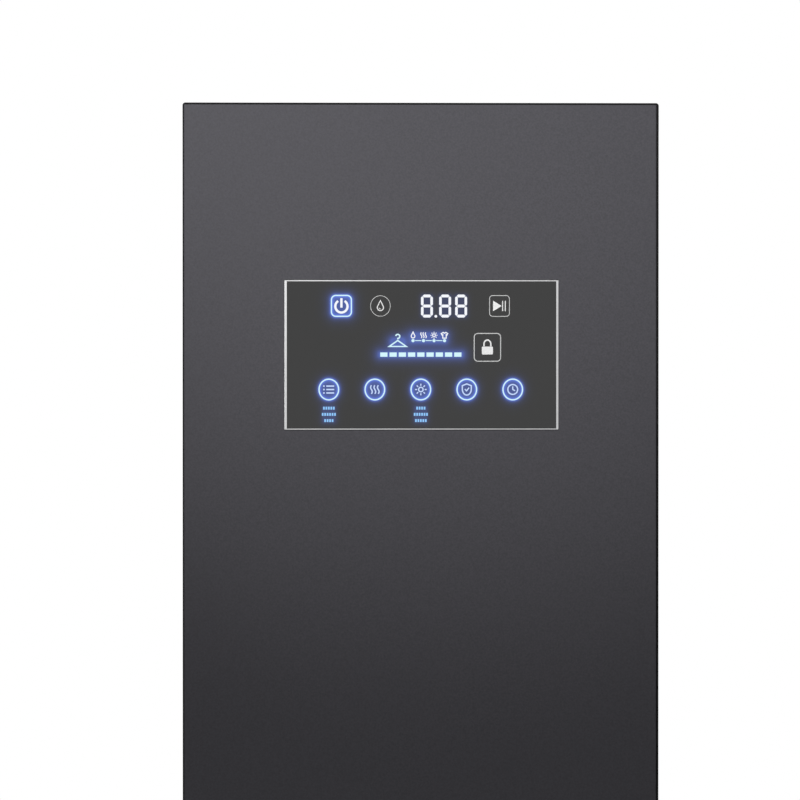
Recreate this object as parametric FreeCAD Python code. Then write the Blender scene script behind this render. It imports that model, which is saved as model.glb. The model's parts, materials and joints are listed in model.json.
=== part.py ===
# Garment steam dryer closet: a tall cabinet with one full-height door and a touch panel in the door.
# Millimetres. The floor is z = 0, x = 0 is the middle of the width, and the door faces -Y.
import FreeCAD, Part
import math
import os

Vector = FreeCAD.Vector
X_AXIS = Vector(1, 0, 0)
Y_AXIS = Vector(0, 1, 0)
Z_AXIS = Vector(0, 0, 1)

# Overall sizes
overall_width = 445.0
overall_depth = 585.0
overall_height = 1850.0

# Stock and general fits
sheet = 1.0
bend = 2.0
plastic = 2.5
fit = 0.3
touch_gap = 0.3

# Heights of the main levels
foot_height = 22.0
pan_height = 36.0
door_bottom = 62.0
floor_level = 340.0
top_step = 4.0

# Cabinet walls
back_flange = 14.0
bead_height = 3.0
bead_width = 16.0
side_insulation = 22.0
back_insulation = 30.0
top_insulation = 38.0
ledge_width = 16.0
flute_width = 26.0
flute_depth = 1.0
flute_margin = 52.0
vent_rows = 6
vent_low = 100.0
vent_pitch = 20.0
vent_slot = 5.0
intake_margin = 9.0
intake_pitch = 16.0
intake_slot = 6.0

# Door
door_thickness = 46.0
seal_gap = 8.0
edge_lip = 1.8
grip_lip = 1.0
corner_radius = 2.6
cap_height = 26.0
trim_width = 22.0
skin_return = 12.0
skin_bend = 0.4
door_liner = 2.0
gasket_width = 10.0
gasket_step = 2.0
plateau_height = 5.0
plateau_margin = 6.0
plateau_slope = 8.0
grip_length = 190.0
grip_centre = 1010.0
grip_depth = 15.0
grip_front_wall = 13.0
grip_back_wall = 9.0
grip_radius = 6.0
grip_ease = 4.8

# Door hinges, on the right seen from the front
hinge_from_side = 16.0
hinge_from_front = 27.0
pin_radius = 5.0
pin_length = 15.0
pin_clearance = 0.08
bush_wall = 3.0
bush_flange = 1.0
arm_half_width = 9.0
bracket_plate = 3.0
bracket_length = 46.0
bracket_width = 58.0
pocket_clearance = 1.2

# Control panel in the door
panel_width = 256.3
panel_height = 139.8
panel_drop = 165.5
panel_shift = 0.6
bezel_side = 2.2
bezel_rail = 1.1
bezel_proud = 0.4
bezel_bevel = 0.32
bezel_rail_gap = 0.5
bezel_depth = 12.0
bezel_ledge = 3.0
glass_thickness = 3.0
glass_setback = 0.25
glass_rail_gap = 0.3
board_thickness = 1.6
digit_block = (54.0, 30.0)
digit_offset = (21.4, 47.7)
digit_window = (14.0, 25.0)
digit_pitch = 17.0

# Chamber fittings
rail_radius = 12.5
rail_wall = 1.5
rail_drop = 105.0
socket_wall = 4.0
socket_depth = 14.0
socket_flange = 26.0
lamp_size = (150.0, 34.0)
lamp_depth = 7.0
lamp_setback = 70.0
lamp_corner = 8.0
lamp_flange = 5.0
shelf_level = 560.0
shelf_rest = (10.0, 8.0)
shelf_frame_radius = 3.0
shelf_wire_radius = 1.8
shelf_wire_count = 13
shelf_setback = 16.0
shelf_corner = 22.0
grille_slot = (6.0, 44.0)
grille_pitch = 13.0
grille_rise = 16.0

# Hangers
hanger_end_gap = 46.0
hanger_thickness = 13.0
hanger_drop = 62.0
hanger_middle = 26.0
hanger_tip = 15.0
hanger_spread = 190.0
hanger_bow = 20.0
hanger_under_bow = 14.5
hanger_edge = 4.0
hook_tube = 3.5
hook_slack = 4.5
hook_neck_drop = 2.0
hook_stem = 44.0
hook_mouth = 25.0

# Water tanks in their wells
floor_thickness = 3.0
tank_margin = 10.0
tank_spacing = 14.0
well_depth = 150.0
well_height = 160.0
well_front_margin = 24.0
well_wall = 2.0
well_rim = 7.0
well_corner = 16.0
tank_clearance = 2.0
tank_wall = 2.2
tank_draft = 5.0
tank_rise = 5.0
lid_thickness = 3.0
lid_skirt = 6.0
bail_bar = 7.0
bail_pin = 2.0
bail_inset = 9.0
lug_width = 8.0
cap_radius = 22.0
cap_thickness = 4.0
cap_tongue = 16.0
cap_knuckle = 3.0
cap_pin = 1.2
filler_radius = 18.0
filler_offset = 28.4
drain_mouth = (64.0, 26.0)
dock_radius = 9.0

# Lint filter
filter_width = 244.0
filter_depth = 74.0
filter_height = 28.0
filter_bars = 9
filter_rim = 8.0
filter_tab = 22.0

# Blower under the filter
impeller_radius = 62.0
impeller_height = 58.0
blade_count = 24
blade_thickness = 1.4
blade_reach = 13.0
volute_start = 76.0
volute_step = 12.0
volute_wall = 2.5
volute_height = 70.0
inlet_radius = 46.0
inlet_lip = 9.0
motor_radius = 44.0
motor_height = 58.0
motor_flange = 5.0
motor_ribs = 3
motor_rib_pitch = 8.5
shaft_radius = 4.0
duct_depth = 26.0
duct_margin = 14.0
blower_gap = 2.0
heater_length = 48.0
heater_fins = 9
heater_fin = 2.2

# Steam, water and control pieces
boiler_size = (88.0, 128.0, 104.0)
boiler_foot = 8.0
boiler_corner = 18.0
boiler_side_room = 12.0
boiler_back_room = 36.0
fitting_radius = 6.0
fitting_length = 14.0
hose_radius = 8.0
hose_run_share = 0.45
hose_bore = 6.2
nozzle_radius = 20.0
nozzle_stem = 10.0
nozzle_shift = 44.0
nozzle_dome = 6.0
nozzle_slots = 4
nozzle_slot = 1.8
nozzle_slot_levels = (3.5, 7.0)
pump_radius = 24.0
pump_height = 66.0
pump_outlet_drop = 46.2
box_size = (150.0, 128.0, 78.0)
box_rib = 2.0
box_ribs = 5
gland_from_side = 70.0
gland_level = 84.0
gland_radius = 10.0
gland_flange = 15.0
gland_bore = 4.2
gland_inside = 9.0

# Feet
foot_radius = 20.0
foot_pad = 8.0
foot_rim = 2.0
foot_shoulder = 4.0
stem_radius = 5.0
stem_length = 30.0
foot_inset = 45.0

# Places worked out from the sizes above
half_width = overall_width / 2
door_front = -overall_depth / 2
door_back = door_front + door_thickness
cab_front = door_back + seal_gap
back_plane = overall_depth / 2
back_sheet = back_plane - bead_height
cab_top = overall_height - top_step
pan_floor = foot_height + sheet

side_flange = sheet + side_insulation + plastic
top_flange = sheet + top_insulation + plastic
chamber_half = half_width - side_flange
chamber_front = cab_front + sheet
chamber_back = back_sheet - sheet - back_insulation - plastic
chamber_middle = (cab_front + chamber_back) / 2
ceiling_level = cab_top - top_flange
floor_under = floor_level - floor_thickness

hinge_x = half_width - hinge_from_side
hinge_y = door_front + hinge_from_front

panel_top = overall_height - panel_drop
panel_middle = panel_top - panel_height / 2
glass_half_width = panel_width / 2 - bezel_side
glass_half_height = panel_height / 2 - bezel_rail

well_width = (2 * chamber_half - 2 * tank_margin - tank_spacing) / 2
well_x = (well_width + tank_spacing) / 2
well_front = cab_front + well_front_margin
well_back = well_front + well_depth
well_y = (well_front + well_back) / 2
well_bottom = floor_level - well_height
tank_width = well_width - 2 * well_wall - 2 * tank_clearance
tank_depth = well_depth - 2 * well_wall - 2 * tank_clearance
tank_bottom = well_bottom + well_wall + touch_gap
tank_top = floor_level + well_wall + tank_rise
lid_top = tank_top + lid_thickness
bail_level = lid_top + touch_gap + bail_bar / 2

blower_y = well_back + blower_gap + volute_wall + volute_start + 2.5 * volute_step
cover_top = floor_under - filter_height - fit - volute_wall
cover_under = cover_top - volute_wall
scroll_floor = cover_under - volute_height
scroll_bottom = scroll_floor - volute_wall
throat_in = volute_start - volute_step / 2
throat_out = volute_start + 3 * volute_step + volute_step / 2

rail_level = ceiling_level - rail_drop
hook_radius = rail_radius + hook_slack + hook_tube
lamp_y = chamber_front + lamp_setback
flute_levels = (shelf_level + flute_margin, rail_level - 2 * flute_margin)

boiler_x = -(half_width - sheet - boiler_size[0] / 2 - boiler_side_room)
boiler_y = chamber_back - boiler_size[1] / 2 - boiler_back_room
gland_x = -half_width + gland_from_side


# Shared shapes

def block(x, y, z):
    """A box between two x values, two y values and two z values, in either order."""
    (x0, x1), (y0, y1), (z0, z1) = sorted(x), sorted(y), sorted(z)
    return Part.makeBox(x1 - x0, y1 - y0, z1 - z0, Vector(x0, y0, z0))


def about(middle, size):
    """The two ends of a size, laid out evenly about its middle."""
    return middle - size / 2, middle + size / 2


def circles(shape, where):
    """The round edges whose middle passes a test."""
    return [e for e in shape.Edges if isinstance(e.Curve, Part.Circle) and where(e.CenterOfMass)]


def edges_along(shape, axis, where=None):
    """The straight edges parallel to an axis, or those of them whose middle passes a test."""
    found = []
    for edge in shape.Edges:
        if not isinstance(edge.Curve, Part.Line):
            continue
        if abs(abs(edge.Curve.Direction.dot(axis)) - 1) > 1e-6:
            continue
        if where is None or where(edge.CenterOfMass):
            found.append(edge)
    return found


def rounded_block(x, y, z, radius, axis):
    """A box whose four edges along one axis are rounded."""
    solid = block(x, y, z)
    return solid.makeFillet(radius, edges_along(solid, axis))


def rod(radius, start, end):
    """A cylinder between two points."""
    return Part.makeCylinder(radius, (end - start).Length, start, end - start)


def pipe_ring(outer, inner, start, end):
    """A round sleeve between two points."""
    return rod(outer, start, end).cut(rod(inner, start, end))


def path_edges(points, radius, closed=False):
    """Straight runs through the points, with each corner rounded by a tangent arc."""
    count = len(points)
    corners = range(count) if closed else range(1, count - 1)
    arrive, leave, arcs = {}, {}, {}
    for i in corners:
        corner = points[i]
        before = (corner - points[i - 1]).normalize()
        after = (points[(i + 1) % count] - corner).normalize()
        half_turn = before.getAngle(after) / 2
        inward = (after - before).normalize()
        centre = corner + inward * (radius / math.cos(half_turn))
        arrive[i] = corner - before * (radius * math.tan(half_turn))
        leave[i] = corner + after * (radius * math.tan(half_turn))
        arcs[i] = Part.Arc(arrive[i], centre - inward * radius, leave[i]).toShape()
    edges = []
    for i in range(count if closed else count - 1):
        following = (i + 1) % count
        start = leave.get(i, points[i])
        end = arrive.get(following, points[following])
        if (end - start).Length > 1e-6:
            edges.append(Part.LineSegment(start, end).toShape())
        if following in arcs:
            edges.append(arcs[following])
    return edges


def loop(points, radius):
    """A closed outline with rounded corners."""
    return Part.Wire(path_edges(points, radius, closed=True))


def polygon(points):
    """A closed outline with sharp corners."""
    return Part.makePolygon(points + points[:1])


def prism(wire, along):
    """An outline pushed along a vector."""
    return Part.Face(wire).extrude(along)


def level_rectangle(x_middle, y_middle, width, depth, z, radius):
    """A level rounded rectangle at height z."""
    x0, x1 = x_middle - width / 2, x_middle + width / 2
    y0, y1 = y_middle - depth / 2, y_middle + depth / 2
    corners = [Vector(x0, y0, z), Vector(x1, y0, z), Vector(x1, y1, z), Vector(x0, y1, z)]
    return loop(corners, radius)


def upright_rectangle(half_x, z_low, z_high, y):
    """An upright rectangle that faces the front, as a sharp outline."""
    return polygon([Vector(-half_x, y, z_low), Vector(half_x, y, z_low),
                    Vector(half_x, y, z_high), Vector(-half_x, y, z_high)])


def upright_frame(outer_half, outer_z, inner_half, inner_z, y):
    """A flat rectangular frame that faces the front."""
    outer = block((-outer_half, outer_half), y, outer_z)
    return outer.cut(block((-inner_half, inner_half), y, inner_z))


def folded_sheet(outline, along, thickness=sheet, inner_radius=bend):
    """A sheet bent the same way at each corner: its outline, the outer face, is pushed along a vector."""
    runs = [(b - a).normalize() for a, b in zip(outline, outline[1:])]
    axis = runs[0].cross(runs[1]).normalize()
    normals = [axis.cross(run) for run in runs]
    inner = [outline[0] + normals[0] * thickness]
    for i in range(1, len(outline) - 1):
        both = normals[i - 1] + normals[i]
        inner.append(outline[i] + both * (thickness / (1 + normals[i - 1].dot(normals[i]))))
    inner.append(outline[-1] + normals[-1] * thickness)
    edges = path_edges(outline, inner_radius + thickness) + path_edges(inner, inner_radius)
    edges.append(Part.LineSegment(outline[0], inner[0]).toShape())
    edges.append(Part.LineSegment(outline[-1], inner[-1]).toShape())
    return prism(Part.Wire(Part.__sortEdges__(edges)), along)


def swept_tube(edges, radius, bore=0.0):
    """A round tube along a run of tangent edges."""
    spine = Part.Wire(edges)
    start = edges[0].valueAt(edges[0].FirstParameter)
    heading = edges[0].tangentAt(edges[0].FirstParameter)

    def filled(r):
        circle = Part.Wire(Part.makeCircle(r, start, heading))
        return spine.makePipeShell([circle], True, False)

    return filled(radius).cut(filled(bore)) if bore else filled(radius)


def drafted_cup(x, y, width, depth, bottom, top, wall, corner, draft):
    """An open-topped moulded cup that narrows towards its bottom."""
    outer = Part.makeLoft([level_rectangle(x, y, width - draft, depth - draft, bottom, corner),
                           level_rectangle(x, y, width, depth, top, corner)], True, True)
    inner = Part.makeLoft([level_rectangle(x, y, width - draft - 2 * wall, depth - draft - 2 * wall,
                                           bottom + wall, corner - wall),
                           level_rectangle(x, y, width - 2 * wall, depth - 2 * wall, top, corner - wall)],
                          True, True)
    return outer.cut(inner)


# Cabinet walls

def side_panel(side):
    """A painted side sheet with front and back flanges, and a welded ledge that carries the chamber floor."""
    outer = side * half_width
    back = back_sheet - sheet
    outline = [Vector(outer - side * side_flange, cab_front, foot_height),
               Vector(outer, cab_front, foot_height),
               Vector(outer, back, foot_height),
               Vector(outer - side * back_flange, back, foot_height)]
    panel = folded_sheet(outline, Z_AXIS * (cab_top - sheet - foot_height))
    inner = outer - side * sheet
    ledge_y = (well_front, back - back_flange)
    ledge = block((inner, inner - side * ledge_width), ledge_y, (floor_under - sheet, floor_under))
    leg = block((inner, inner - side * sheet), ledge_y, (floor_under - ledge_width, floor_under))
    return panel.fuse([ledge, leg]).removeSplitter()


def top_panel():
    """The top sheet, folded down at the front and the back, and notched clear of the side flanges."""
    back = back_sheet - sheet
    outline = [Vector(-half_width, cab_front, ceiling_level), Vector(-half_width, cab_front, cab_top),
               Vector(-half_width, back, cab_top), Vector(-half_width, back, cab_top - back_flange)]
    panel = folded_sheet(outline, X_AXIS * overall_width)
    below = (ceiling_level, cab_top - sheet)
    for side in (-1, 1):
        for keep, y in ((side_flange, (cab_front, chamber_middle)), (back_flange, (chamber_middle, back))):
            end = (side * (half_width - keep - fit), side * half_width)
            panel = panel.cut(block(end, y, below))
    return panel


def back_panel():
    """The back sheet with two pressed beads, and slots and a gland hole over the machine space."""
    half = half_width - sheet
    z = (foot_height, cab_top - sheet)
    panel = block((-half, half), (back_sheet - sheet, back_sheet), z)
    slope = bead_height
    bead_z = (floor_level, cab_top - back_flange)
    for side in (-1, 1):
        middle = side * half / 2
        for inset, cutting in ((0.0, False), (sheet, True)):
            wide, crest = bead_width / 2 - inset, bead_width / 2 - slope - inset / 2
            base = back_sheet - (sheet if cutting else 0.0)
            outline = polygon([Vector(middle - wide, base, bead_z[0] + inset),
                               Vector(middle + wide, base, bead_z[0] + inset),
                               Vector(middle + crest, base + bead_height, bead_z[0] + inset),
                               Vector(middle - crest, base + bead_height, bead_z[0] + inset)])
            bead = prism(outline, Z_AXIS * (bead_z[1] - bead_z[0] - 2 * inset))
            panel = panel.cut(bead) if cutting else panel.fuse(bead)
    slot_half = half / 3
    for row in range(vent_rows):
        level = vent_low + row * vent_pitch
        slot = block((-slot_half, slot_half), (back_sheet - 2 * sheet, back_plane),
                     (level, level + vent_slot))
        panel = panel.cut(slot)
    return panel.cut(rod(gland_radius + fit / 2, gland_place(-sheet - fit), gland_place(bead_height)))


def gland_place(beyond):
    """A point on the cord gland's axis, beyond the back sheet's outer face."""
    return Vector(gland_x, back_sheet + beyond, gland_level)


def foot_places():
    """Left and right, front and back places of the feet."""
    x = half_width - foot_inset
    return {"front": [Vector(-x, cab_front + foot_inset, 0), Vector(x, cab_front + foot_inset, 0)],
            "rear": [Vector(-x, back_sheet - foot_inset, 0), Vector(x, back_sheet - foot_inset, 0)]}


def base_pan():
    """The folded base tray, with a nut boss over each foot."""
    x = half_width - sheet - fit
    y = (cab_front + plastic + fit, back_sheet - 2 * sheet - fit)
    z = (foot_height, foot_height + pan_height)
    tray = rounded_block((-x, x), y, z, bend + sheet, Z_AXIS)
    hollow = rounded_block((-x + sheet, x - sheet), (y[0] + sheet, y[1] - sheet), (pan_floor, z[1]),
                           bend, Z_AXIS)
    tray = tray.cut(hollow)
    for place in foot_places()["front"] + foot_places()["rear"]:
        low = place + Z_AXIS * foot_height
        tray = tray.fuse(rod(2 * stem_radius, low, low + Z_AXIS * (stem_length / 2)))
        tray = tray.cut(rod(stem_radius + pin_clearance, low, low + Z_AXIS * stem_length))
    return tray.removeSplitter()


def lower_front_cover():
    """The moulded front below the chamber: a sill that carries the floor, and intake slots under the door."""
    half = chamber_half - fit
    y = cab_front + plastic
    cover = block((-half, half), (cab_front, y), (foot_height, floor_under))
    sill = block((-half, half), (cab_front, cab_front + well_front_margin - fit),
                 (floor_under - plastic, floor_under))
    cover = cover.fuse(sill).removeSplitter()
    slot_z = (foot_height + intake_margin, door_bottom - intake_margin)
    count = int((2 * half - 4 * intake_pitch) / intake_pitch)
    for i in range(count + 1):
        middle = (i - count / 2) * intake_pitch
        slot = block((middle - intake_slot / 2, middle + intake_slot / 2), (cab_front - fit, y + fit), slot_z)
        cover = cover.cut(slot)
    return cover


# Chamber

def side_liner(side):
    """A moulded chamber side with a lip behind the seal flange, shallow flutes and a shelf ledge."""
    face = side * chamber_half
    lip = side * (half_width - sheet - bend - fit)
    outline = [Vector(lip, chamber_front, floor_level), Vector(face, chamber_front, floor_level),
               Vector(face, chamber_back, floor_level)]
    height = ceiling_level - floor_level
    liner = folded_sheet(outline, Z_AXIS * height, plastic)
    liner = liner.cut(side_flutes(side))
    rest, thick = shelf_rest
    ledge = block((face, face - side * rest), (chamber_front + shelf_setback, chamber_back - shelf_setback),
                  (shelf_level - thick, shelf_level))
    middle = shelf_level - thick / 2
    slope = edges_along(ledge, Y_AXIS, lambda p: p.z < middle and abs(p.x) < chamber_half - fit)
    return liner.fuse(ledge.makeChamfer(thick - 2 * fit, slope))


def flute_middles(span):
    """Places of evenly spaced flutes, from the middle of a span."""
    count = int(span / (2 * flute_width)) - 1
    return [(i - (count - 1) / 2) * 2 * flute_width for i in range(count)]


def side_flutes(side):
    """Shallow upright grooves with round ends along one chamber side."""
    face = side * chamber_half
    cuts = []
    for place in flute_middles(chamber_back - chamber_front):
        middle = chamber_middle + place
        cuts.append(rounded_block((face - side * flute_depth, face + side * flute_depth),
                                  (middle - flute_width / 2, middle + flute_width / 2),
                                  flute_levels, flute_width / 2 - fit, X_AXIS))
    return cuts


def facing_flutes(span, face, levels):
    """Shallow upright grooves with round ends in a wall that faces the front or the back."""
    cuts = []
    for middle in flute_middles(span):
        cuts.append(rounded_block((middle - flute_width / 2, middle + flute_width / 2),
                                  (face - flute_depth, face + flute_depth),
                                  levels, flute_width / 2 - fit, Y_AXIS))
    return cuts


def duct_x():
    """Left and right inner faces of the hot air duct, on the blower's throat."""
    return throat_in - duct_margin, throat_out + duct_margin


def grille_middle():
    """Middle of the hot air grille, over the blower's throat."""
    return (throat_in + throat_out) / 2


def back_liner():
    """The moulded chamber back with shallow flutes and the hot air grille low on it."""
    half = chamber_half + plastic
    liner = block((-half, half), (chamber_back, chamber_back + plastic), (floor_level, ceiling_level))
    width, height = grille_slot
    low, high = duct_x()
    count = int((high - low - duct_margin) / grille_pitch)
    z = (floor_level + grille_rise, floor_level + grille_rise + height)
    for i in range(count):
        middle = grille_middle() + (i - (count - 1) / 2) * grille_pitch
        slot = rounded_block((middle - width / 2, middle + width / 2),
                             (chamber_back - fit, chamber_back + plastic + fit), z, width / 2 - fit, Y_AXIS)
        liner = liner.cut(slot)
    return liner.cut(facing_flutes(2 * chamber_half, chamber_back, flute_levels))


def ceiling_liner():
    """The moulded chamber ceiling with a lip behind the seal flange and a window for the lamp."""
    half = chamber_half + plastic
    y = (chamber_front, chamber_back + plastic)
    liner = block((-half, half), y, (ceiling_level, ceiling_level + plastic))
    lip = block((-half, half), (chamber_front, chamber_front + plastic),
                (ceiling_level, cab_top - sheet - bend - fit))
    liner = liner.fuse(lip).removeSplitter()
    width, depth = lamp_size
    window = rounded_block(about(0, width + 2 * fit), about(lamp_y, depth + 2 * fit),
                           (ceiling_level - fit, ceiling_level + plastic + fit), lamp_corner + fit, Z_AXIS)
    return liner.cut(window)


def lamp_lens():
    """A domed lamp lens clipped up into the ceiling window, with a flange above the liner."""
    width, depth = lamp_size
    x, y = (-width / 2, width / 2), (lamp_y - depth / 2, lamp_y + depth / 2)
    lens = rounded_block(x, y, (ceiling_level - lamp_depth / 2, ceiling_level + plastic), lamp_corner, Z_AXIS)
    rim = [e for e in lens.Edges if e.CenterOfMass.z < ceiling_level - lamp_depth / 2 + fit]
    lens = lens.makeFillet(lamp_depth / 4, rim)
    top = ceiling_level + plastic
    flange = block((x[0] - lamp_flange, x[1] + lamp_flange), (y[0] - lamp_flange, y[1] + lamp_flange),
                   (top, top + lamp_depth / 2))
    return lens.fuse(flange).removeSplitter()


def chamber_floor():
    """The chamber floor, with openings for the two wells, the lint filter and the steam nozzle."""
    half = chamber_half + plastic
    floor = block((-half, half), (chamber_front, chamber_back + plastic), (floor_under, floor_level))
    cut_z = (floor_under - fit, floor_level + fit)
    for side in (-1, 1):
        x = side * well_x
        opening = level_rectangle(x, well_y, well_width + 2 * fit, well_depth + 2 * fit,
                                  cut_z[0], well_corner)
        floor = floor.cut(prism(opening, Z_AXIS * (cut_z[1] - cut_z[0])))
    half_filter = filter_width / 2 + fit
    floor = floor.cut(block((-half_filter, half_filter),
                            (blower_y - filter_depth / 2 - fit, blower_y + filter_depth / 2 + fit), cut_z))
    stem = nozzle_place(cut_z[0])
    return floor.cut(rod(nozzle_stem + fit, stem, nozzle_place(cut_z[1])))


def foam_insulation():
    """Foam slabs between the chamber and the two sides, the back and the top."""
    inner, outer = chamber_half + plastic + fit / 2, half_width - sheet - fit / 2
    y = (chamber_front + plastic + bend + fit, back_sheet - sheet - back_flange)
    slabs = [block((side * inner, side * outer), y, (floor_level, ceiling_level)) for side in (-1, 1)]
    half = chamber_half + plastic
    back = block((-half, half), (chamber_back + plastic + fit / 2, back_sheet - sheet - fit / 2),
                 (floor_level, ceiling_level))
    low, high = duct_x()
    wall = plastic + fit
    pocket = block((low - wall, high + wall), (chamber_back, back_sheet),
                   (floor_level - fit, duct_top() + wall))
    slabs.append(back.cut(pocket))
    top = block((-half, half), (chamber_front + plastic + fit, chamber_back + plastic),
                (ceiling_level + plastic + fit / 2, cab_top - sheet - fit / 2))
    width, depth = lamp_size
    reach = lamp_flange + fit
    recess = block(about(0, width + 2 * reach), about(lamp_y, depth + 2 * reach),
                   (ceiling_level, ceiling_level + plastic + lamp_depth))
    slabs.append(top.cut(recess))
    return Part.makeCompound(slabs)


def rail_sockets():
    """Two flanged cups on the chamber sides that hold the ends of the rail."""
    cups = []
    for side in (-1, 1):
        wall = Vector(side * (chamber_half - fit / 2), chamber_middle, rail_level)
        inward = X_AXIS * -side
        flange = rod(socket_flange, wall, wall + inward * socket_wall)
        rim = [e for e in flange.Edges if abs(e.CenterOfMass.x) < chamber_half - socket_wall / 2]
        cup = flange.makeFillet(socket_wall / 2, [e for e in rim if isinstance(e.Curve, Part.Circle)])
        cup = cup.fuse(rod(rail_radius + socket_wall, wall, wall + inward * (socket_wall + socket_depth)))
        seat = wall + inward * socket_wall
        bore = rod(rail_radius + pin_clearance, seat, seat + inward * (socket_depth + fit))
        cups.append(cup.cut(bore).removeSplitter())
    return Part.makeCompound(cups)


def hanging_rail():
    """The tube that garments hang from, seated in its two sockets."""
    reach = chamber_half - socket_wall - fit
    start, end = Vector(-reach, chamber_middle, rail_level), Vector(reach, chamber_middle, rail_level)
    return pipe_ring(rail_radius, rail_radius - rail_wall, start, end)


def wire_shelf():
    """A welded wire shelf: a round frame, wires from front to back, and a cross wire under them."""
    half = chamber_half - 2 * touch_gap - shelf_frame_radius
    level = shelf_level + touch_gap + shelf_frame_radius
    front = chamber_front + shelf_setback + 2 * shelf_frame_radius
    back = chamber_back - shelf_setback - 2 * shelf_frame_radius
    corners = [Vector(0, front, level), Vector(half, front, level), Vector(half, back, level),
               Vector(-half, back, level), Vector(-half, front, level)]
    frame = Part.Wire(path_edges(corners, shelf_corner) + closing_run(corners, shelf_corner))
    circle = Part.Wire(Part.makeCircle(shelf_frame_radius, corners[0], X_AXIS))
    shelf = frame.makePipeShell([circle], True, False)
    wire_level = level + shelf_frame_radius - shelf_wire_radius / 2
    pitch = 2 * (half - shelf_corner) / (shelf_wire_count - 1)
    wires = []
    for i in range(shelf_wire_count):
        x = -half + shelf_corner + i * pitch
        wires.append(rod(shelf_wire_radius, Vector(x, front, wire_level), Vector(x, back, wire_level)))
    middle = (front + back) / 2
    cross = wire_level - 1.5 * shelf_wire_radius
    wires.append(rod(shelf_wire_radius, Vector(-half, middle, cross), Vector(half, middle, cross)))
    return shelf.fuse(wires)


def closing_run(corners, radius):
    """The last straight run of a frame that starts in the middle of its front."""
    last, first = corners[-1], corners[0]
    edges = path_edges([corners[-2], last, first], radius)
    return edges[1:]


def hanger(x):
    """A moulded coat hanger: two sloping shoulders and a round hook over the rail."""
    span = (chamber_back - chamber_front) / 2 - hanger_end_gap
    hook_middle = rail_level + rail_radius + touch_gap - (hook_radius - hook_tube)
    bend_radius = hook_radius / 2 - fit
    crown = hook_middle - 2 * bend_radius - hook_stem

    def at(y, z):
        return Vector(x, chamber_middle + y, z)

    tip_top, tip_low = crown - hanger_drop, crown - hanger_drop - hanger_tip
    under = crown - hanger_middle
    outline = [Part.Arc(at(-span, tip_top), at(-span / 2, crown - hanger_bow), at(0, crown)),
               Part.Arc(at(0, crown), at(span / 2, crown - hanger_bow), at(span, tip_top)),
               Part.LineSegment(at(span, tip_top), at(span, tip_low)),
               Part.Arc(at(span, tip_low), at(span / 2, under - hanger_under_bow), at(0, under)),
               Part.Arc(at(0, under), at(-span / 2, under - hanger_under_bow), at(-span, tip_low)),
               Part.LineSegment(at(-span, tip_low), at(-span, tip_top))]
    wire = Part.Wire([curve.toShape() for curve in outline])
    arms = Part.Face(wire).extrude(X_AXIS * hanger_thickness)
    arms.translate(X_AXIS * (-hanger_thickness / 2))
    tips = edges_along(arms, X_AXIS, lambda p: abs(p.y - chamber_middle) > span - fit)
    arms = arms.makeFillet(hanger_tip / 3, tips)
    rims = [e for e in arms.Edges if abs(e.CenterOfMass.x - x) > hanger_thickness / 2 - fit]
    arms = arms.makeFillet(hanger_edge, rims)
    open_end = math.radians(-hook_mouth)
    start = at(hook_radius * math.cos(open_end), hook_middle + hook_radius * math.sin(open_end))
    bow = Part.Arc(start, at(0, hook_middle + hook_radius), at(-hook_radius, hook_middle)).toShape()
    neck = rail_level - rail_radius - hook_neck_drop
    stem = path_edges([at(-hook_radius, hook_middle), at(-hook_radius, neck), at(0, neck),
                       at(0, crown - hanger_middle / 2)], bend_radius)
    return arms.fuse(swept_tube([bow] + stem, hook_tube)).removeSplitter()


# Water tanks and lint filter

def tank_wells():
    """One moulding with two drafted wells and a common rim that lies on the chamber floor."""
    rim_z = (floor_level, floor_level + well_wall)
    x = chamber_half - tank_margin + well_rim
    rim = rounded_block((-x, x), (well_front - well_rim, well_back + well_rim), rim_z, well_corner, Z_AXIS)
    cups, mouths = [], []
    for side in (-1, 1):
        place = (side * well_x, well_y)
        cups.append(drafted_cup(*place, well_width, well_depth, well_bottom, rim_z[1], well_wall, well_corner,
                                tank_draft))
        mouth = level_rectangle(*place, well_width - 2 * well_wall, well_depth - 2 * well_wall, rim_z[0],
                                well_corner - well_wall)
        mouths.append(prism(mouth, Z_AXIS * well_wall))
    wells = rim.cut(mouths).fuse(cups).removeSplitter()
    spout = Vector(-well_x, well_y, well_bottom)
    wells = wells.fuse(rod(dock_radius, spout, spout - Z_AXIS * fitting_length))
    drain = rod(dock_radius - well_wall, spout + Z_AXIS * 2 * well_wall, spout - Z_AXIS * 2 * fitting_length)
    return wells.cut(drain)


def water_tank(side):
    """A drafted, open-topped tank that stands in its well."""
    return drafted_cup(side * well_x, well_y, tank_width, tank_depth, tank_bottom, tank_top, tank_wall,
                       well_corner - well_wall - tank_clearance, tank_draft)


def tank_lid(side):
    """A tank's lid: a flat cover with a skirt inside the tank, and two lugs for the bail."""
    x = side * well_x
    corner = well_corner - well_wall - tank_clearance

    def plan(inset):
        return level_rectangle(x, well_y, tank_width - 2 * inset, tank_depth - 2 * inset,
                               tank_top, corner - inset)

    cover = prism(plan(0.0), Z_AXIS * lid_thickness)
    skirt = prism(plan(tank_wall + fit), Z_AXIS * -lid_skirt)
    lid = cover.fuse(skirt.cut(prism(plan(2 * tank_wall + fit), Z_AXIS * -lid_skirt)))
    for end in (-1, 1):
        lid = lid.fuse(bail_lug(x + end * bail_lug_x()))
    pivot = Vector(x - tank_width, well_y, bail_level)
    return lid.cut(rod(bail_pin + pin_clearance, pivot, pivot + X_AXIS * (2 * tank_width))).removeSplitter()


def bail_arm_x():
    """Distance from a tank's middle to the middle of a bail arm."""
    return tank_width / 2 - bail_inset


def bail_lug_x():
    """Distance from a tank's middle to the middle of a bail lug."""
    return bail_arm_x() - bail_bar / 2 - fit - lug_width / 2


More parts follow.
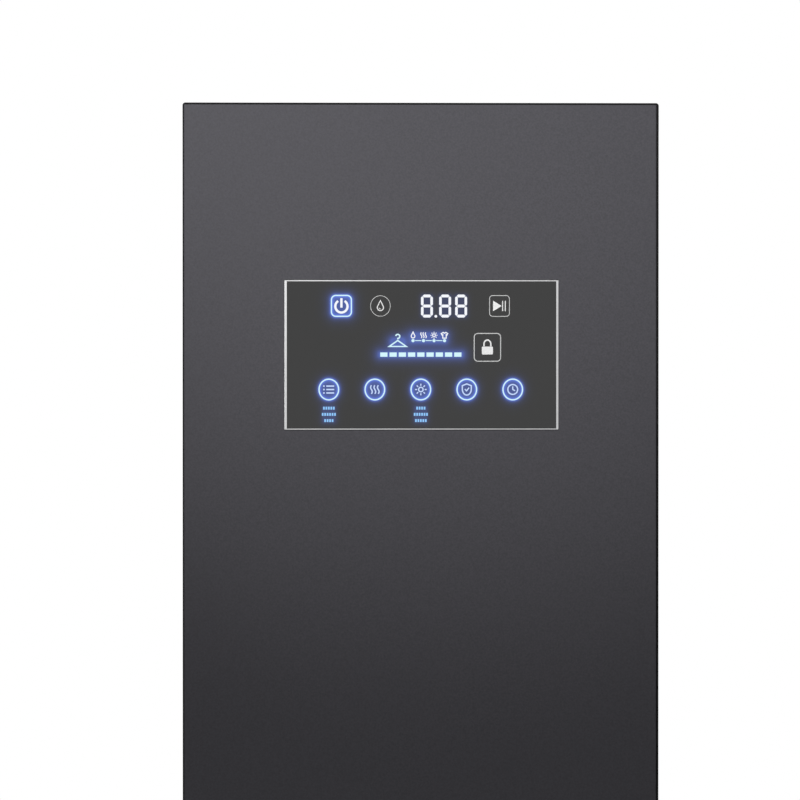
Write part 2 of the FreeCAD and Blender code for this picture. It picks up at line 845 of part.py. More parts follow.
def bail_lug(x):
    """A rounded lug that stands on a lid and takes a bail's pin."""
    half = bail_bar / 2
    profile = [Part.LineSegment(Vector(x, well_y - half, lid_top), Vector(x, well_y - half, bail_level)),
               Part.Arc(Vector(x, well_y - half, bail_level), Vector(x, well_y, bail_level + half),
                        Vector(x, well_y + half, bail_level)),
               Part.LineSegment(Vector(x, well_y + half, bail_level), Vector(x, well_y + half, lid_top)),
               Part.LineSegment(Vector(x, well_y + half, lid_top), Vector(x, well_y - half, lid_top))]
    lug = Part.Face(Part.Wire([p.toShape() for p in profile])).extrude(X_AXIS * lug_width)
    lug.translate(X_AXIS * (-lug_width / 2))
    return lug


def fill_tank_lid():
    """The fill tank's lid, with a filler hole and two ears for the filler cap."""
    lid = tank_lid(-1)
    centre = Vector(-well_x, filler_y(), tank_top - lid_skirt)
    lid = lid.cut(rod(filler_radius, centre, centre + Z_AXIS * (2 * lid_skirt + lid_thickness)))
    x, y, z = cap_axis()
    for end in (-1, 1):
        ear_x = x + end * (cap_tongue / 2 + fit + lug_width / 4)
        ear = block((ear_x - lug_width / 4, ear_x + lug_width / 4), (y - cap_knuckle, y + cap_knuckle),
                    (lid_top, z + cap_knuckle))
        crown = edges_along(ear, X_AXIS, lambda p: p.z > z)
        lid = lid.fuse(ear.makeFillet(cap_knuckle - fit, crown))
    reach = tank_width / 4
    return lid.cut(rod(cap_pin + pin_clearance, Vector(x - reach, y, z), Vector(x + reach, y, z)))


def filler_y():
    """Middle of the filler hole, in front of the bail's pivot."""
    return well_y - filler_offset


def cap_axis():
    """A point on the filler cap's hinge axis, which runs across the tank."""
    return -well_x, filler_y() + cap_radius + cap_knuckle + fit, lid_top + touch_gap + cap_knuckle


def fill_cap():
    """The filler cap: a round cover with a thumb tab, and a tongue on a pin between the lid's ears."""
    x, y, z = cap_axis()
    low = lid_top + touch_gap
    centre = Vector(x, filler_y(), low)
    disc = rod(cap_radius, centre, centre + Z_AXIS * cap_thickness)
    disc = disc.makeFillet(cap_thickness / 4, circles(disc, lambda p: p.z > low + cap_thickness / 2))
    tab_z = (low, low + cap_thickness / 2)
    tab = rounded_block(about(x, cap_tongue), (centre.y - cap_radius - cap_knuckle, centre.y), tab_z,
                        cap_knuckle, Z_AXIS)
    tongue = block(about(x, cap_tongue), (centre.y + cap_radius / 2, y), tab_z)
    knuckle = rod(cap_knuckle, Vector(x - cap_tongue / 2, y, z), Vector(x + cap_tongue / 2, y, z))
    half_pin = cap_tongue / 2 + fit + lug_width / 2
    pin = rod(cap_pin, Vector(x - half_pin, y, z), Vector(x + half_pin, y, z))
    return disc.fuse([tab, tongue, knuckle, pin]).removeSplitter()


def drain_tank_lid():
    """The drain tank's lid, with a mouth where condensate runs in from the chamber."""
    width, depth = drain_mouth
    mouth = rounded_block(about(well_x, width), about(filler_y(), depth), (tank_top - fit, lid_top + fit),
                          depth / 3, Z_AXIS)
    return tank_lid(1).cut(mouth)


def tank_handle(side):
    """A bail that lies flat on its lid, with a thicker grip and a pin into each lug."""
    x = side * well_x
    arm = bail_arm_x()
    half = bail_bar / 2
    front = well_y - tank_depth / 2 + half + bail_inset / 2
    z = (bail_level - half, bail_level + half)
    solids = []
    for end in (-1, 1):
        middle = x + end * arm
        pivot = Vector(middle, well_y, bail_level)
        solids.append(block((middle - half, middle + half), (front, well_y), z))
        solids.append(rod(half, pivot - X_AXIS * half, pivot + X_AXIS * half))
        solids.append(rod(bail_pin, pivot, pivot - X_AXIS * (end * (half + lug_width))))
    grip = rounded_block(about(x, 2 * (arm + half)), about(front, bail_bar), z, half - fit, Z_AXIS)
    return grip.fuse(solids).removeSplitter()


def lint_filter():
    """A lift-out lint basket: a rim on the floor, drafted walls, a barred bottom and a finger tab."""
    half_x, half_y = filter_width / 2, filter_depth / 2
    wall = well_wall
    y = (blower_y - half_y, blower_y + half_y)
    top = floor_level + touch_gap
    bottom = floor_under - filter_height + touch_gap
    rim = rounded_block((-half_x - filter_rim, half_x + filter_rim), (y[0] - filter_rim, y[1] + filter_rim),
                        (top, top + wall), filter_rim, Z_AXIS)
    body = block((-half_x, half_x), y, (bottom, top + wall))
    hollow = block((-half_x + wall, half_x - wall), (y[0] + wall, y[1] - wall),
                   (bottom - fit, top + 2 * wall))
    basket = rim.fuse(body).cut(hollow)
    pitch = filter_width / (filter_bars + 1)
    bars = []
    for i in range(1, filter_bars + 1):
        middle = -half_x + i * pitch
        bars.append(block((middle - wall / 2, middle + wall / 2), (y[0] + wall / 2, y[1] - wall / 2),
                          (bottom, bottom + 2 * wall)))
    bars.append(block((-half_x + wall / 2, half_x - wall / 2), (blower_y - wall, blower_y + wall),
                      (bottom, bottom + 2 * wall)))
    tab = block((-filter_tab, filter_tab), (y[0] + wall / 2, y[0] + 2 * wall), (bottom, top + 2 * filter_rim))
    tab = tab.makeFillet(filter_rim, edges_along(tab, Y_AXIS, lambda p: p.z > top))
    return basket.fuse(bars + [tab]).removeSplitter()


# Blower, heater and hot air duct

def volute_face(wall, z):
    """The spiral of the blower's scroll, drawn with four quarter arcs of growing radius."""
    step = volute_step
    middles = [Vector(-step / 2, step / 2, 0), Vector(-step / 2, -step / 2, 0),
               Vector(step / 2, -step / 2, 0), Vector(step / 2, step / 2, 0)]
    axis = Vector(0, blower_y, z)
    arcs = []
    for quarter, middle in enumerate(middles):
        radius = volute_start + quarter * step + wall
        turn = [Vector(math.cos(a), math.sin(a), 0) * radius
                for a in (math.radians(90 * quarter + d) for d in (0, 45, 90))]
        arcs.append(Part.Arc(*[axis + middle + spoke for spoke in turn]).toShape())
    first, last = arcs[0].Vertexes[0].Point, arcs[-1].Vertexes[-1].Point
    return Part.Face(Part.Wire(arcs + [Part.LineSegment(last, first).toShape()]))


def throat(wall, z):
    """The scroll's straight throat, which runs back under the chamber to the hot air duct."""
    return block((throat_in - wall, throat_out + wall),
                 (blower_y + volute_step / 2, chamber_back + plastic), z)


def blower_scroll():
    """The blower's scroll, open on top, with its throat and a hole for the motor shaft."""
    outer = volute_face(volute_wall, scroll_bottom).extrude(Z_AXIS * (cover_under - scroll_bottom))
    outer = outer.fuse(throat(volute_wall, (scroll_bottom, cover_under)))
    inner = volute_face(0.0, scroll_floor).extrude(Z_AXIS * (cover_under - scroll_floor))
    inner = inner.fuse(throat(0.0, (scroll_floor, cover_under)))
    scroll = outer.cut(inner)
    axis = Vector(0, blower_y, scroll_bottom)
    return scroll.cut(rod(2 * shaft_radius, axis - Z_AXIS, axis + Z_AXIS * volute_height)).removeSplitter()


def blower_inlet_cover():
    """The scroll's cover: a rolled inlet, a collar up to the chamber floor, and a roof over the throat."""
    plate = volute_face(volute_wall, cover_under).extrude(Z_AXIS * volute_wall)
    plate = plate.fuse(throat(volute_wall, (cover_under, cover_top)))
    width, depth = filter_width + 2 * fit, filter_depth + 2 * fit
    collar = block(about(0, width + 2 * volute_wall), about(blower_y, depth + 2 * volute_wall),
                   (cover_under, floor_under - fit / 2))
    plate = plate.fuse(collar)
    plate = plate.cut(block(about(0, width), about(blower_y, depth), (cover_top, floor_under)))
    axis = Vector(0, blower_y, cover_under)
    lip = pipe_ring(inlet_radius + volute_wall, inlet_radius, axis - Z_AXIS * inlet_lip, axis)
    hole = rod(inlet_radius, axis - Z_AXIS * inlet_lip, axis + Z_AXIS * (2 * volute_wall))
    return plate.fuse(lip).cut(hole).removeSplitter()


def blower_impeller():
    """The blower wheel: a back plate, forward-curved blades, a shroud ring and a hub on the motor shaft."""
    low = scroll_floor + 3 * volute_wall
    axis = Vector(0, blower_y, low)
    inner = impeller_radius - blade_reach
    plate = rod(impeller_radius, axis, axis + Z_AXIS * blade_thickness)
    hub = rod(3 * shaft_radius, axis, axis + Z_AXIS * (impeller_height / 3))
    top = axis + Z_AXIS * impeller_height
    shroud = pipe_ring(impeller_radius, inner + blade_reach / 2, top - Z_AXIS * 2 * blade_thickness, top)
    shaft_end = axis - Z_AXIS * (3 * volute_wall + motor_height / 2)
    shaft = rod(shaft_radius, shaft_end, axis + Z_AXIS * (impeller_height / 3))
    blade = curved_blade(inner, low)
    blades = []
    for i in range(blade_count):
        copy = blade.copy()
        copy.rotate(axis, Z_AXIS, i * 360.0 / blade_count)
        blades.append(copy)
    return plate.fuse([hub, shroud, shaft] + blades)


def curved_blade(inner, low):
    """One blade, curved forward between two arcs from the wheel's eye to its rim."""
    rim = impeller_radius - blade_thickness / 2
    lean = blade_reach / 2

    def at(radius, aside):
        return Vector(math.sqrt(radius ** 2 - aside ** 2), blower_y + aside, low)

    near = Part.Arc(at(inner, 0), at((inner + rim) / 2, lean / 4), at(rim, lean)).toShape()
    far = Part.Arc(at(rim, lean + blade_thickness), at((inner + rim) / 2, lean / 4 + blade_thickness),
                   at(inner, blade_thickness)).toShape()
    ends = [Part.LineSegment(at(rim, lean), at(rim, lean + blade_thickness)).toShape(),
            Part.LineSegment(at(inner, blade_thickness), at(inner, 0)).toShape()]
    return Part.Face(Part.Wire([near, ends[0], far, ends[1]])).extrude(Z_AXIS * impeller_height)


def blower_motor():
    """The blower motor under the scroll: a ribbed can with a flange and a bore for its shaft."""
    top = Vector(0, blower_y, scroll_bottom)
    flange = rod(motor_radius + motor_flange, top, top - Z_AXIS * motor_flange)
    can = rod(motor_radius, top, top - Z_AXIS * motor_height)
    can = can.makeFillet(motor_flange, circles(can, lambda p: p.z < scroll_bottom - motor_height / 2))
    ribs = []
    for i in range(1, motor_ribs + 1):
        centre = top - Z_AXIS * (2 * motor_rib_pitch + i * motor_rib_pitch)
        ribs.append(rod(motor_radius + motor_flange / 2, centre, centre - Z_AXIS * motor_flange / 2))
    bore = rod(shaft_radius + pin_clearance, top, top - Z_AXIS * (motor_height / 2 + fit))
    return can.fuse([flange] + ribs).cut(bore).removeSplitter()


def heater_core():
    """The finned heater in the throat: two end bars and a stack of thin fins between them."""
    x = (throat_in + touch_gap, throat_out - touch_gap)
    z = (scroll_floor + touch_gap, cover_under - touch_gap)
    middle = (blower_y + volute_start + chamber_back) / 2
    y = (middle - heater_length / 2, middle + heater_length / 2)
    bar = (z[1] - z[0]) / heater_fins
    bars = [block(x, y, (z[0], z[0] + bar / 2)), block(x, y, (z[1] - bar / 2, z[1]))]
    pitch = (x[1] - x[0]) / heater_fins
    fins = []
    for i in range(heater_fins):
        fins.append(block(about(x[0] + (i + 0.5) * pitch, heater_fin), y, z))
    return bars[0].fuse(bars[1:] + fins).removeSplitter()


def duct_top():
    """Inner top of the hot air duct, just over the grille."""
    return floor_level + grille_rise + grille_slot[1] + duct_margin / 2


def outlet_duct():
    """The flat duct behind the chamber that turns the hot air up from the throat to the grille."""
    low, high = duct_x()
    front = chamber_back + plastic
    back = front + duct_depth
    outer_z = (scroll_bottom, duct_top() + plastic)
    duct = block((low - plastic, high + plastic), (front, back), outer_z)
    duct = duct.cut(block((low, high), (front + plastic, back - plastic), (scroll_floor, duct_top())))
    mouths = [block((throat_in, throat_out), (front - fit, front + 2 * plastic), (scroll_floor, cover_under)),
              block((low, high), (front - fit, front + 2 * plastic),
                    (floor_level + grille_rise - duct_margin / 2, duct_top()))]
    return duct.cut(mouths).removeSplitter()


# Steam, water and control pieces

def boiler_top():
    """Height of the boiler's top."""
    return pan_floor + boiler_foot + boiler_size[2]


def steam_generator():
    """The boiler: two cast halves with a bolting flange, feet, a steam outlet and a water inlet."""
    width, depth = boiler_size[:2]
    x, y = (boiler_x - width / 2, boiler_x + width / 2), (boiler_y - depth / 2, boiler_y + depth / 2)
    z = (pan_floor + boiler_foot, boiler_top())
    body = rounded_block(x, y, z, boiler_corner, Z_AXIS)
    body = body.makeFillet(boiler_corner / 3, [e for e in body.Edges if e.BoundBox.ZLength < fit])
    waist = (z[0] + z[1]) / 2
    rim = boiler_foot / 2
    flange = rounded_block((x[0] - rim, x[1] + rim), (y[0] - rim, y[1] + rim), (waist - rim, waist + rim),
                           boiler_corner, Z_AXIS)
    feet = []
    for foot_x in x:
        inward = boiler_corner if foot_x == x[0] else -boiler_corner
        feet.append(block(about(foot_x + inward, boiler_corner), (y[0] + boiler_corner, y[1] - boiler_corner),
                          (pan_floor, z[0] + rim)))
    out = Vector(boiler_x, boiler_y, z[1] - rim)
    outlet = rod(fitting_radius, out, steam_start())
    inlet = rod(fitting_radius, Vector(boiler_x, y[0] + rim, z[0] + boiler_corner), feed_end())
    return body.fuse([flange, outlet, inlet] + feet).removeSplitter()


def steam_start():
    """End of the boiler's steam outlet."""
    return Vector(boiler_x, boiler_y, boiler_top() + fitting_length)


def feed_end():
    """End of the boiler's water inlet."""
    front = boiler_y - boiler_size[1] / 2
    return Vector(boiler_x, front - fitting_length, pan_floor + boiler_foot + boiler_corner)


def nozzle_place(z):
    """A point on the steam nozzle's axis."""
    return Vector(boiler_x + nozzle_shift, boiler_y, z)


def steam_nozzle():
    """The steam nozzle: a domed cap with slots over the floor, and a stem down to the hose."""
    base = nozzle_place(floor_level)
    cap = rod(nozzle_radius, base, base + Z_AXIS * nozzle_stem)
    cap = cap.makeFillet(nozzle_dome, circles(cap, lambda p: p.z > floor_level + fit))
    slots = []
    for i in range(nozzle_slots):
        slot = block((-nozzle_radius, nozzle_radius), about(0, nozzle_slot), nozzle_slot_levels)
        slot.rotate(Vector(0, 0, 0), Z_AXIS, i * 180.0 / nozzle_slots)
        slot.translate(base)
        slots.append(slot)
    cap = cap.cut(slots)
    stem = rod(nozzle_stem, base, nozzle_place(floor_under - fitting_length))
    barb = rod(fitting_radius, nozzle_place(floor_under - fitting_length), steam_end())
    return cap.fuse([stem, barb]).removeSplitter()


def steam_end():
    """Lower end of the steam nozzle's barb."""
    return nozzle_place(floor_under - 2 * fitting_length)


def over_fitting(end, towards):
    """A hose starts over its fitting, half the fitting's length back from the fitting's end."""
    return end - towards * (fitting_length / 2)


def steam_hose():
    """The hose that carries steam from the boiler up to the nozzle."""
    start, end = over_fitting(steam_start(), Z_AXIS), over_fitting(steam_end(), Z_AXIS * -1)
    middle = (start.z + end.z) / 2
    points = [start, Vector(start.x, start.y, middle - hose_radius),
              Vector(end.x, end.y, middle + hose_radius), end]
    return swept_tube(path_edges(points, hose_bend(points)), hose_radius, hose_bore)


def hose_bend(points):
    """The bend radius that fits the shorter run at each corner of a hose."""
    radii = []
    for before, corner, after in zip(points, points[1:], points[2:]):
        turn = (corner - before).getAngle(after - corner)
        shorter = min((corner - before).Length, (after - corner).Length)
        radii.append(hose_run_share * shorter / math.tan(turn / 2))
    return min(radii)


def pump_axis(z):
    """A point on the feed pump's axis, under the fill well's spout."""
    return Vector(-well_x, well_y, z)


def feed_pump():
    """The feed pump: a round body on a stand under the fill well, with its inlet on top."""
    top = well_bottom - fitting_length
    body_top = top - fitting_length
    body = rod(pump_radius, pump_axis(body_top - pump_height), pump_axis(body_top))
    body = body.makeFillet(pump_radius / 4, circles(body, lambda p: p.z > body_top - fit))
    foot = rounded_block(about(-well_x, 3 * pump_radius), about(well_y, 2 * pump_radius),
                         (pan_floor, pan_floor + plastic), pump_radius / 3, Z_AXIS)
    stand = rounded_block(about(-well_x, pump_radius), about(well_y, pump_radius),
                          (pan_floor, body_top - pump_height + plastic), pump_radius / 4, Z_AXIS)
    inlet = rod(dock_radius, pump_axis(body_top - plastic), pump_axis(top))
    outlet = rod(fitting_radius, pump_axis(feed_start().z), feed_start())
    return body.fuse([foot, stand, inlet, outlet]).removeSplitter()


def feed_start():
    """End of the pump's outlet, low on the pump's back."""
    level = well_bottom - 2 * fitting_length - pump_outlet_drop
    return Vector(-well_x, well_y + pump_radius + fitting_length, level)


def feed_hose():
    """The hose that carries water from the pump back to the boiler."""
    start, end = over_fitting(feed_start(), Y_AXIS), over_fitting(feed_end(), Y_AXIS * -1)
    middle = (start.y + end.y) / 2
    aside = (end.x - start.x) / 2
    points = [start, Vector(start.x, middle + aside / 2, start.z),
              Vector(end.x, middle - aside / 2, end.z), end]
    return swept_tube(path_edges(points, hose_bend(points)), hose_radius, hose_bore)


def control_box():
    """The moulded case of the control board on the base pan, with a lid line and a row of ribs."""
    width, depth, height = box_size
    x1 = half_width - sheet - 3 * box_rib - fit
    y1 = back_sheet - foot_inset - 3 * stem_radius
    x, y, z = (x1 - width, x1), (y1 - depth, y1), (pan_floor, pan_floor + height)
    case = rounded_block(x, y, z, 3 * box_rib, Z_AXIS)
    groove = z[1] - height / 4
    case = case.cut(upright_groove(x, y, groove))
    ribs = []
    for i in range(1, box_ribs + 1):
        middle = x[0] + i * width / (box_ribs + 1)
        ribs.append(block(about(middle, box_rib), about(y[0], 2 * box_rib), (z[0], groove - 2 * box_rib)))
    return case.fuse(ribs).removeSplitter()


def upright_groove(x, y, level):
    """A shallow groove round a case, where its lid meets it."""
    z, deep = (level, level + box_rib / 2), box_rib / 2
    outer = block((x[0] - box_rib, x[1] + box_rib), (y[0] - box_rib, y[1] + box_rib), z)
    return outer.cut(block((x[0] + deep, x[1] - deep), (y[0] + deep, y[1] - deep), z))


def cord_gland():
    """The bush in the back sheet where the supply cord goes in."""
    body = rod(gland_radius, gland_place(-sheet - gland_inside), gland_place(bead_height))
    flange = rod(gland_flange, gland_place(0), gland_place(bead_height))
    nut = rod(gland_flange, gland_place(-sheet - gland_inside), gland_place(-sheet))
    flange = flange.makeChamfer(bead_height / 3, circles(flange, lambda p: p.y > back_sheet + fit))
    bore = rod(gland_bore, gland_place(-2 * gland_inside), gland_place(2 * bead_height))
    return flange.fuse([body, nut]).cut(bore).removeSplitter()


def foot(place):
    """A levelling foot: a turned pad with a chamfered rim on a stem that screws into the base pan."""
    neck = 2 * stem_radius
    stem_top = foot_height + stem_length
    profile = [Vector(0, 0, 0), Vector(foot_radius - foot_rim, 0, 0), Vector(foot_radius, 0, foot_rim),
               Vector(foot_radius, 0, foot_pad), Vector(neck, 0, foot_pad + foot_shoulder),
               Vector(neck, 0, foot_height - touch_gap), Vector(stem_radius, 0, foot_height - touch_gap),
               Vector(stem_radius, 0, stem_top), Vector(0, 0, stem_top)]
    solid = Part.Face(polygon(profile)).revolve(Vector(0, 0, 0), Z_AXIS, 360)
    solid.translate(place)
    return solid


# Door

def door_span():
    """Heights between the door's two end caps."""
    return door_bottom + cap_height, overall_height - cap_height


def skin_edges(inset):
    """Left and right edges of the front sheet, behind the lips of the opening edge and the hinge edge."""
    return -half_width + grip_lip + inset, half_width - edge_lip - inset


def door_skin():
    """The door's front sheet: returned edges between the caps, and a window for the control panel."""
    left, right = skin_edges(0.0)
    z = (door_bottom + edge_lip, overall_height - edge_lip)
    outline = [Vector(left, door_front + skin_return, z[0]), Vector(left, door_front, z[0]),
               Vector(right, door_front, z[0]), Vector(right, door_front + skin_return, z[0])]
    skin = folded_sheet(outline, Z_AXIS * (z[1] - z[0]), sheet, skin_bend)
    behind = (door_front + sheet + skin_bend, door_front + 2 * skin_return)
    for end in ((z[0], door_span()[0] + fit), (door_span()[1] - fit, z[1])):
        skin = skin.cut(block((-half_width, half_width), behind, end))
    window = rounded_block(about(panel_shift, panel_width + 2 * fit),
                           (door_front - fit, door_front + skin_return),
                           (panel_top - panel_height - bezel_rail_gap, panel_top + bezel_rail_gap),
                           edge_lip / 2, Y_AXIS)
    return skin.cut(window)


def skin_room():
    """The space that the front sheet takes in the door's edge trims and caps."""
    return block(skin_edges(-fit / 4), (door_front - fit, door_front + sheet + skin_bend + fit / 4),
                 (door_bottom + edge_lip - fit / 4, overall_height - edge_lip + fit / 4))


def soften_front(solid, axis):
    """Rounds the front outer edges of a door trim that run along one axis."""
    outer = edges_along(solid, axis, lambda p: abs(p.y - door_front) < fit and (
        abs(p.x) > half_width - fit or p.z > overall_height - fit or p.z < door_bottom + fit))
    return solid.makeFillet(edge_lip / 3, outer)


def door_trim(side, lip):
    """A moulded edge of the door between the caps, with a thin lip in front that frames the sheet."""
    outer = side * half_width
    front = outer - side * (lip - fit / 4)
    inner = outer - side * trim_width
    step, back = door_front + skin_return + fit, door_back - door_liner
    span = door_span()
    z = (span[0] + fit / 2, span[1] - fit / 2)
    outline = [Vector(outer, door_front, z[0]), Vector(front, door_front, z[0]), Vector(front, step, z[0]),
               Vector(inner, step, z[0]), Vector(inner, back, z[0]), Vector(outer, back, z[0])]
    trim = prism(polygon(outline), Z_AXIS * (z[1] - z[0]))
    return soften_front(trim, Z_AXIS)


def door_grip_trim():
    """The opening edge of the door, with a scooped finger grip in its side."""
    y = (door_front + grip_front_wall, door_back - door_liner - grip_back_wall)
    z = (grip_centre - grip_length / 2, grip_centre + grip_length / 2)
    scoop = rounded_block((-half_width - fit, -half_width + grip_depth), y, z, grip_radius, X_AXIS)
    middle = -half_width + grip_depth / 2
    floor = [e for e in scoop.Edges if e.BoundBox.XLength < fit and e.CenterOfMass.x > middle]
    return door_trim(-1, grip_lip).cut(scoop.makeFillet(grip_ease, floor))


def door_cap(low, high, outer_level):
    """A moulded end of the door: a lip round the sheet, rounded corners and a socket for the hinge bush."""
    cap = block((-half_width, half_width), (door_front, door_back), (low, high))
    corners = edges_along(cap, Y_AXIS, lambda p: abs(p.z - outer_level) < fit)
    cap = cap.makeFillet(corner_radius, corners)
    cap = cap.cut(skin_room())
    rear = edges_along(cap, Z_AXIS, lambda p: p.y > door_back - fit)
    return cap.makeFillet(corner_radius, rear)


def door_top_cap():
    """The door's top end, with a pocket behind its front lip where the hinge arm swings."""
    cap = door_cap(door_span()[1], overall_height, overall_height)
    pocket_floor = cab_top - pocket_clearance
    pocket = block((hinge_x - 2 * arm_half_width, half_width + fit),
                   (door_front + edge_lip + sheet, door_back + fit), (pocket_floor, overall_height + fit))
    cap = cap.cut(pocket)
    return cap.cut(bush_socket(pocket_floor, -1))


def door_bottom_cap():
    """The door's bottom end."""
    return door_cap(door_bottom, door_span()[0], door_bottom).cut(bush_socket(door_bottom, 1))


def bush_socket(face, inward):
    """The hole that a hinge bush is pressed into, from a face of a door cap."""
    start = Vector(hinge_x, hinge_y, face)
    return rod(pin_radius + bush_wall, start, start + Z_AXIS * inward * (pin_length + bush_flange))


def hinge_bushes():
    """Two flanged bushes, one in each door cap, that turn on the hinge pins."""
    bushes = []
    for face, inward in ((cab_top - pocket_clearance, -1), (door_bottom, 1)):
        start = Vector(hinge_x, hinge_y, face)
        end = start + Z_AXIS * inward * (pin_length + bush_flange)
        flange = rod(pin_radius + 1.5 * bush_wall, start, start - Z_AXIS * inward * bush_flange)
        sleeve = rod(pin_radius + bush_wall - pin_clearance / 2, start, end)
        bore = rod(pin_radius + pin_clearance, start - Z_AXIS * inward * bush_flange, end)
        bushes.append(sleeve.fuse(flange).cut(bore).removeSplitter())
    return Part.makeCompound(bushes)


def door_liner_panel():
    """The moulded inside of the door, with a hollow, fluted raised field inside the seal."""
    half = half_width - sheet
    z = (door_span()[0] + fit / 2, door_span()[1] - fit / 2)
    panel = block((-half, half), (door_back - door_liner, door_back), z)
    panel = panel.fuse(raised_field(0.0, door_back, plateau_height))
    panel = panel.cut(raised_field(door_liner, door_back - door_liner - fit, plateau_height + fit))
    flutes = facing_flutes(2 * chamber_half, door_back + plateau_height, flute_levels)
    return panel.cut(flutes).removeSplitter()


def raised_field(inset, base, rise):
    """The sloped block of the door liner's raised field, standing on a base plane."""
    half, z = gasket_edges(gasket_width + plateau_margin + inset)
    foot = upright_rectangle(half, z[0], z[1], base)
    crest = upright_rectangle(half - plateau_slope, z[0] + plateau_slope, z[1] - plateau_slope, base + rise)
    return Part.makeLoft([foot, crest], True, True)


def gasket_edges(inset):
    """Half width and heights of the seal's rectangle, moved inwards from its outer edge."""
    half = hinge_x - fit
    return half - inset, (floor_under - side_flange + inset, door_span()[1] - 2 * fit - inset)


def door_gasket():
    """The door seal: a broad base on the liner and a narrower bellows that meets the cabinet's flange."""
    base = seal_ring(0.0, gasket_width, (door_back, door_back + seal_gap / 2))
    nose = seal_ring(gasket_step, gasket_width - gasket_step,
                     (door_back + seal_gap / 2, cab_front - touch_gap))
    return base.fuse(nose).removeSplitter()


def seal_ring(outer_inset, inner_inset, y):
    """One step of the seal, all round the chamber's mouth."""
    outer_half, outer_z = gasket_edges(outer_inset)
    inner_half, inner_z = gasket_edges(inner_inset)
    return upright_frame(outer_half, outer_z, inner_half, inner_z, y)


def door_insulation():
    """The door's foam core, hollowed behind the control panel."""
    half = half_width - trim_width - fit / 2
    span = door_span()
    core = block((-half, half), (door_front + sheet + fit / 4, door_back - door_liner - fit / 4),
                 (span[0] + fit, span[1] - fit))
    room = bezel_ledge + 2 * fit
    pocket = block(about(panel_shift, panel_width + 2 * room),
                   (door_front, door_front + bezel_depth + board_thickness + 2 * fit),
                   (panel_top - panel_height - room, panel_top + room))
    return core.cut(pocket)


# Control panel

def panel_frame(half_x, half_z, inner_x, inner_z, y):
    """One step of the bezel, centred on the control panel."""
    outer = block(about(panel_shift, 2 * half_x), y, about(panel_middle, 2 * half_z))
    return outer.cut(block(about(panel_shift, 2 * inner_x), y, about(panel_middle, 2 * inner_z)))


def panel_bezel():
    """The bright frame of the control panel: a bevelled rim, a flange behind the sheet and a glass ledge."""
    half_x, half_z = panel_width / 2, panel_height / 2
    rim = panel_frame(half_x, half_z, glass_half_width, glass_half_height,
                      (door_front - bezel_proud, door_front + glass_setback + glass_thickness))
    corner = edges_along(rim, Y_AXIS, lambda p: abs(p.x - panel_shift) > half_x - fit)
    rim = rim.makeFillet(edge_lip / 3, corner)

    def outer_front(edge):
        p = edge.CenterOfMass
        outside = abs(p.x - panel_shift) > half_x - fit or abs(p.z - panel_middle) > half_z - fit
        return outside and edge.BoundBox.YMax < door_front - bezel_proud + fit

    front = [e for e in rim.Edges if outer_front(e)]
    rim = rim.makeChamfer(bezel_bevel, front)
    ledge_y = (door_front + glass_setback + glass_thickness, door_front + bezel_depth)
    ledge = panel_frame(half_x, half_z, glass_half_width - bezel_ledge, glass_half_height - bezel_ledge,
                        ledge_y)
    flange = panel_frame(half_x + bezel_ledge, half_z + bezel_ledge, half_x - fit, half_z - fit,
                         (door_front + sheet + fit / 4, door_front + bezel_depth))
    return rim.fuse([ledge, flange]).removeSplitter()


def touch_glass():
    """The smoked glass of the control panel, set just inside its frame."""
    y = (door_front + glass_setback, door_front + glass_setback + glass_thickness)
    half_x, half_z = glass_half_width - fit / 2, glass_half_height - glass_rail_gap
    return block(about(panel_shift, 2 * half_x), y, about(panel_middle, 2 * half_z))


def display_board():
    """The circuit board behind the glass, seated on the back of the bezel."""
    y = (door_front + bezel_depth, door_front + bezel_depth + board_thickness)
    return rounded_block(about(panel_shift, panel_width), y, about(panel_middle, panel_height),
                         bezel_ledge, Y_AXIS)


def digit_module():
    """The three-digit lamp block between the board and the glass, with a window for each digit."""
    width, height = digit_block
    x, z = panel_shift + digit_offset[0], panel_middle + digit_offset[1]
    front = door_front + glass_setback + glass_thickness + touch_gap
    module = block(about(x, width), (front, door_front + bezel_depth), about(z, height))
    window_width, window_height = digit_window
    for i in (-1, 0, 1):
        middle = x + i * digit_pitch
        module = module.cut(block(about(middle, window_width), (front, front + board_thickness),
                                  about(z, window_height)))
    return module


# Hinge brackets

def arm_outline(z):
    """The plan of a hinge arm: round at its pin, straight back to the cabinet, and wider over it."""
    wide = hinge_x + arm_half_width - bracket_width
    start = cab_front + 2 * touch_gap
    end = start + bracket_length
    x0, x1 = hinge_x - arm_half_width, hinge_x + arm_half_width
    tip = Vector(hinge_x, hinge_y - arm_half_width, z)
    nose = Part.Arc(Vector(x0, hinge_y, z), tip, Vector(x1, hinge_y, z))
    corners = [Vector(x1, hinge_y, z), Vector(x1, end, z), Vector(wide, end, z), Vector(wide, start, z),
               Vector(x0, start, z), Vector(x0, hinge_y, z)]
    runs = [Part.LineSegment(a, b).toShape() for a, b in zip(corners, corners[1:])]
    return Part.Wire([nose.toShape()] + runs)


def top_hinge_bracket():
    """The top hinge: a plate on the cabinet's top with an arm over the door and a pin down into it."""
    plate = prism(arm_outline(cab_top), Z_AXIS * bracket_plate)
    corner = edges_along(plate, Z_AXIS, lambda p: p.y > cab_front + bracket_length / 2)
    plate = plate.makeFillet(corner_radius, corner)
    top = Vector(hinge_x, hinge_y, cab_top)
    pin = rod(pin_radius, top + Z_AXIS * bracket_plate, top - Z_AXIS * (pocket_clearance + pin_length))
    return plate.fuse(pin).removeSplitter()


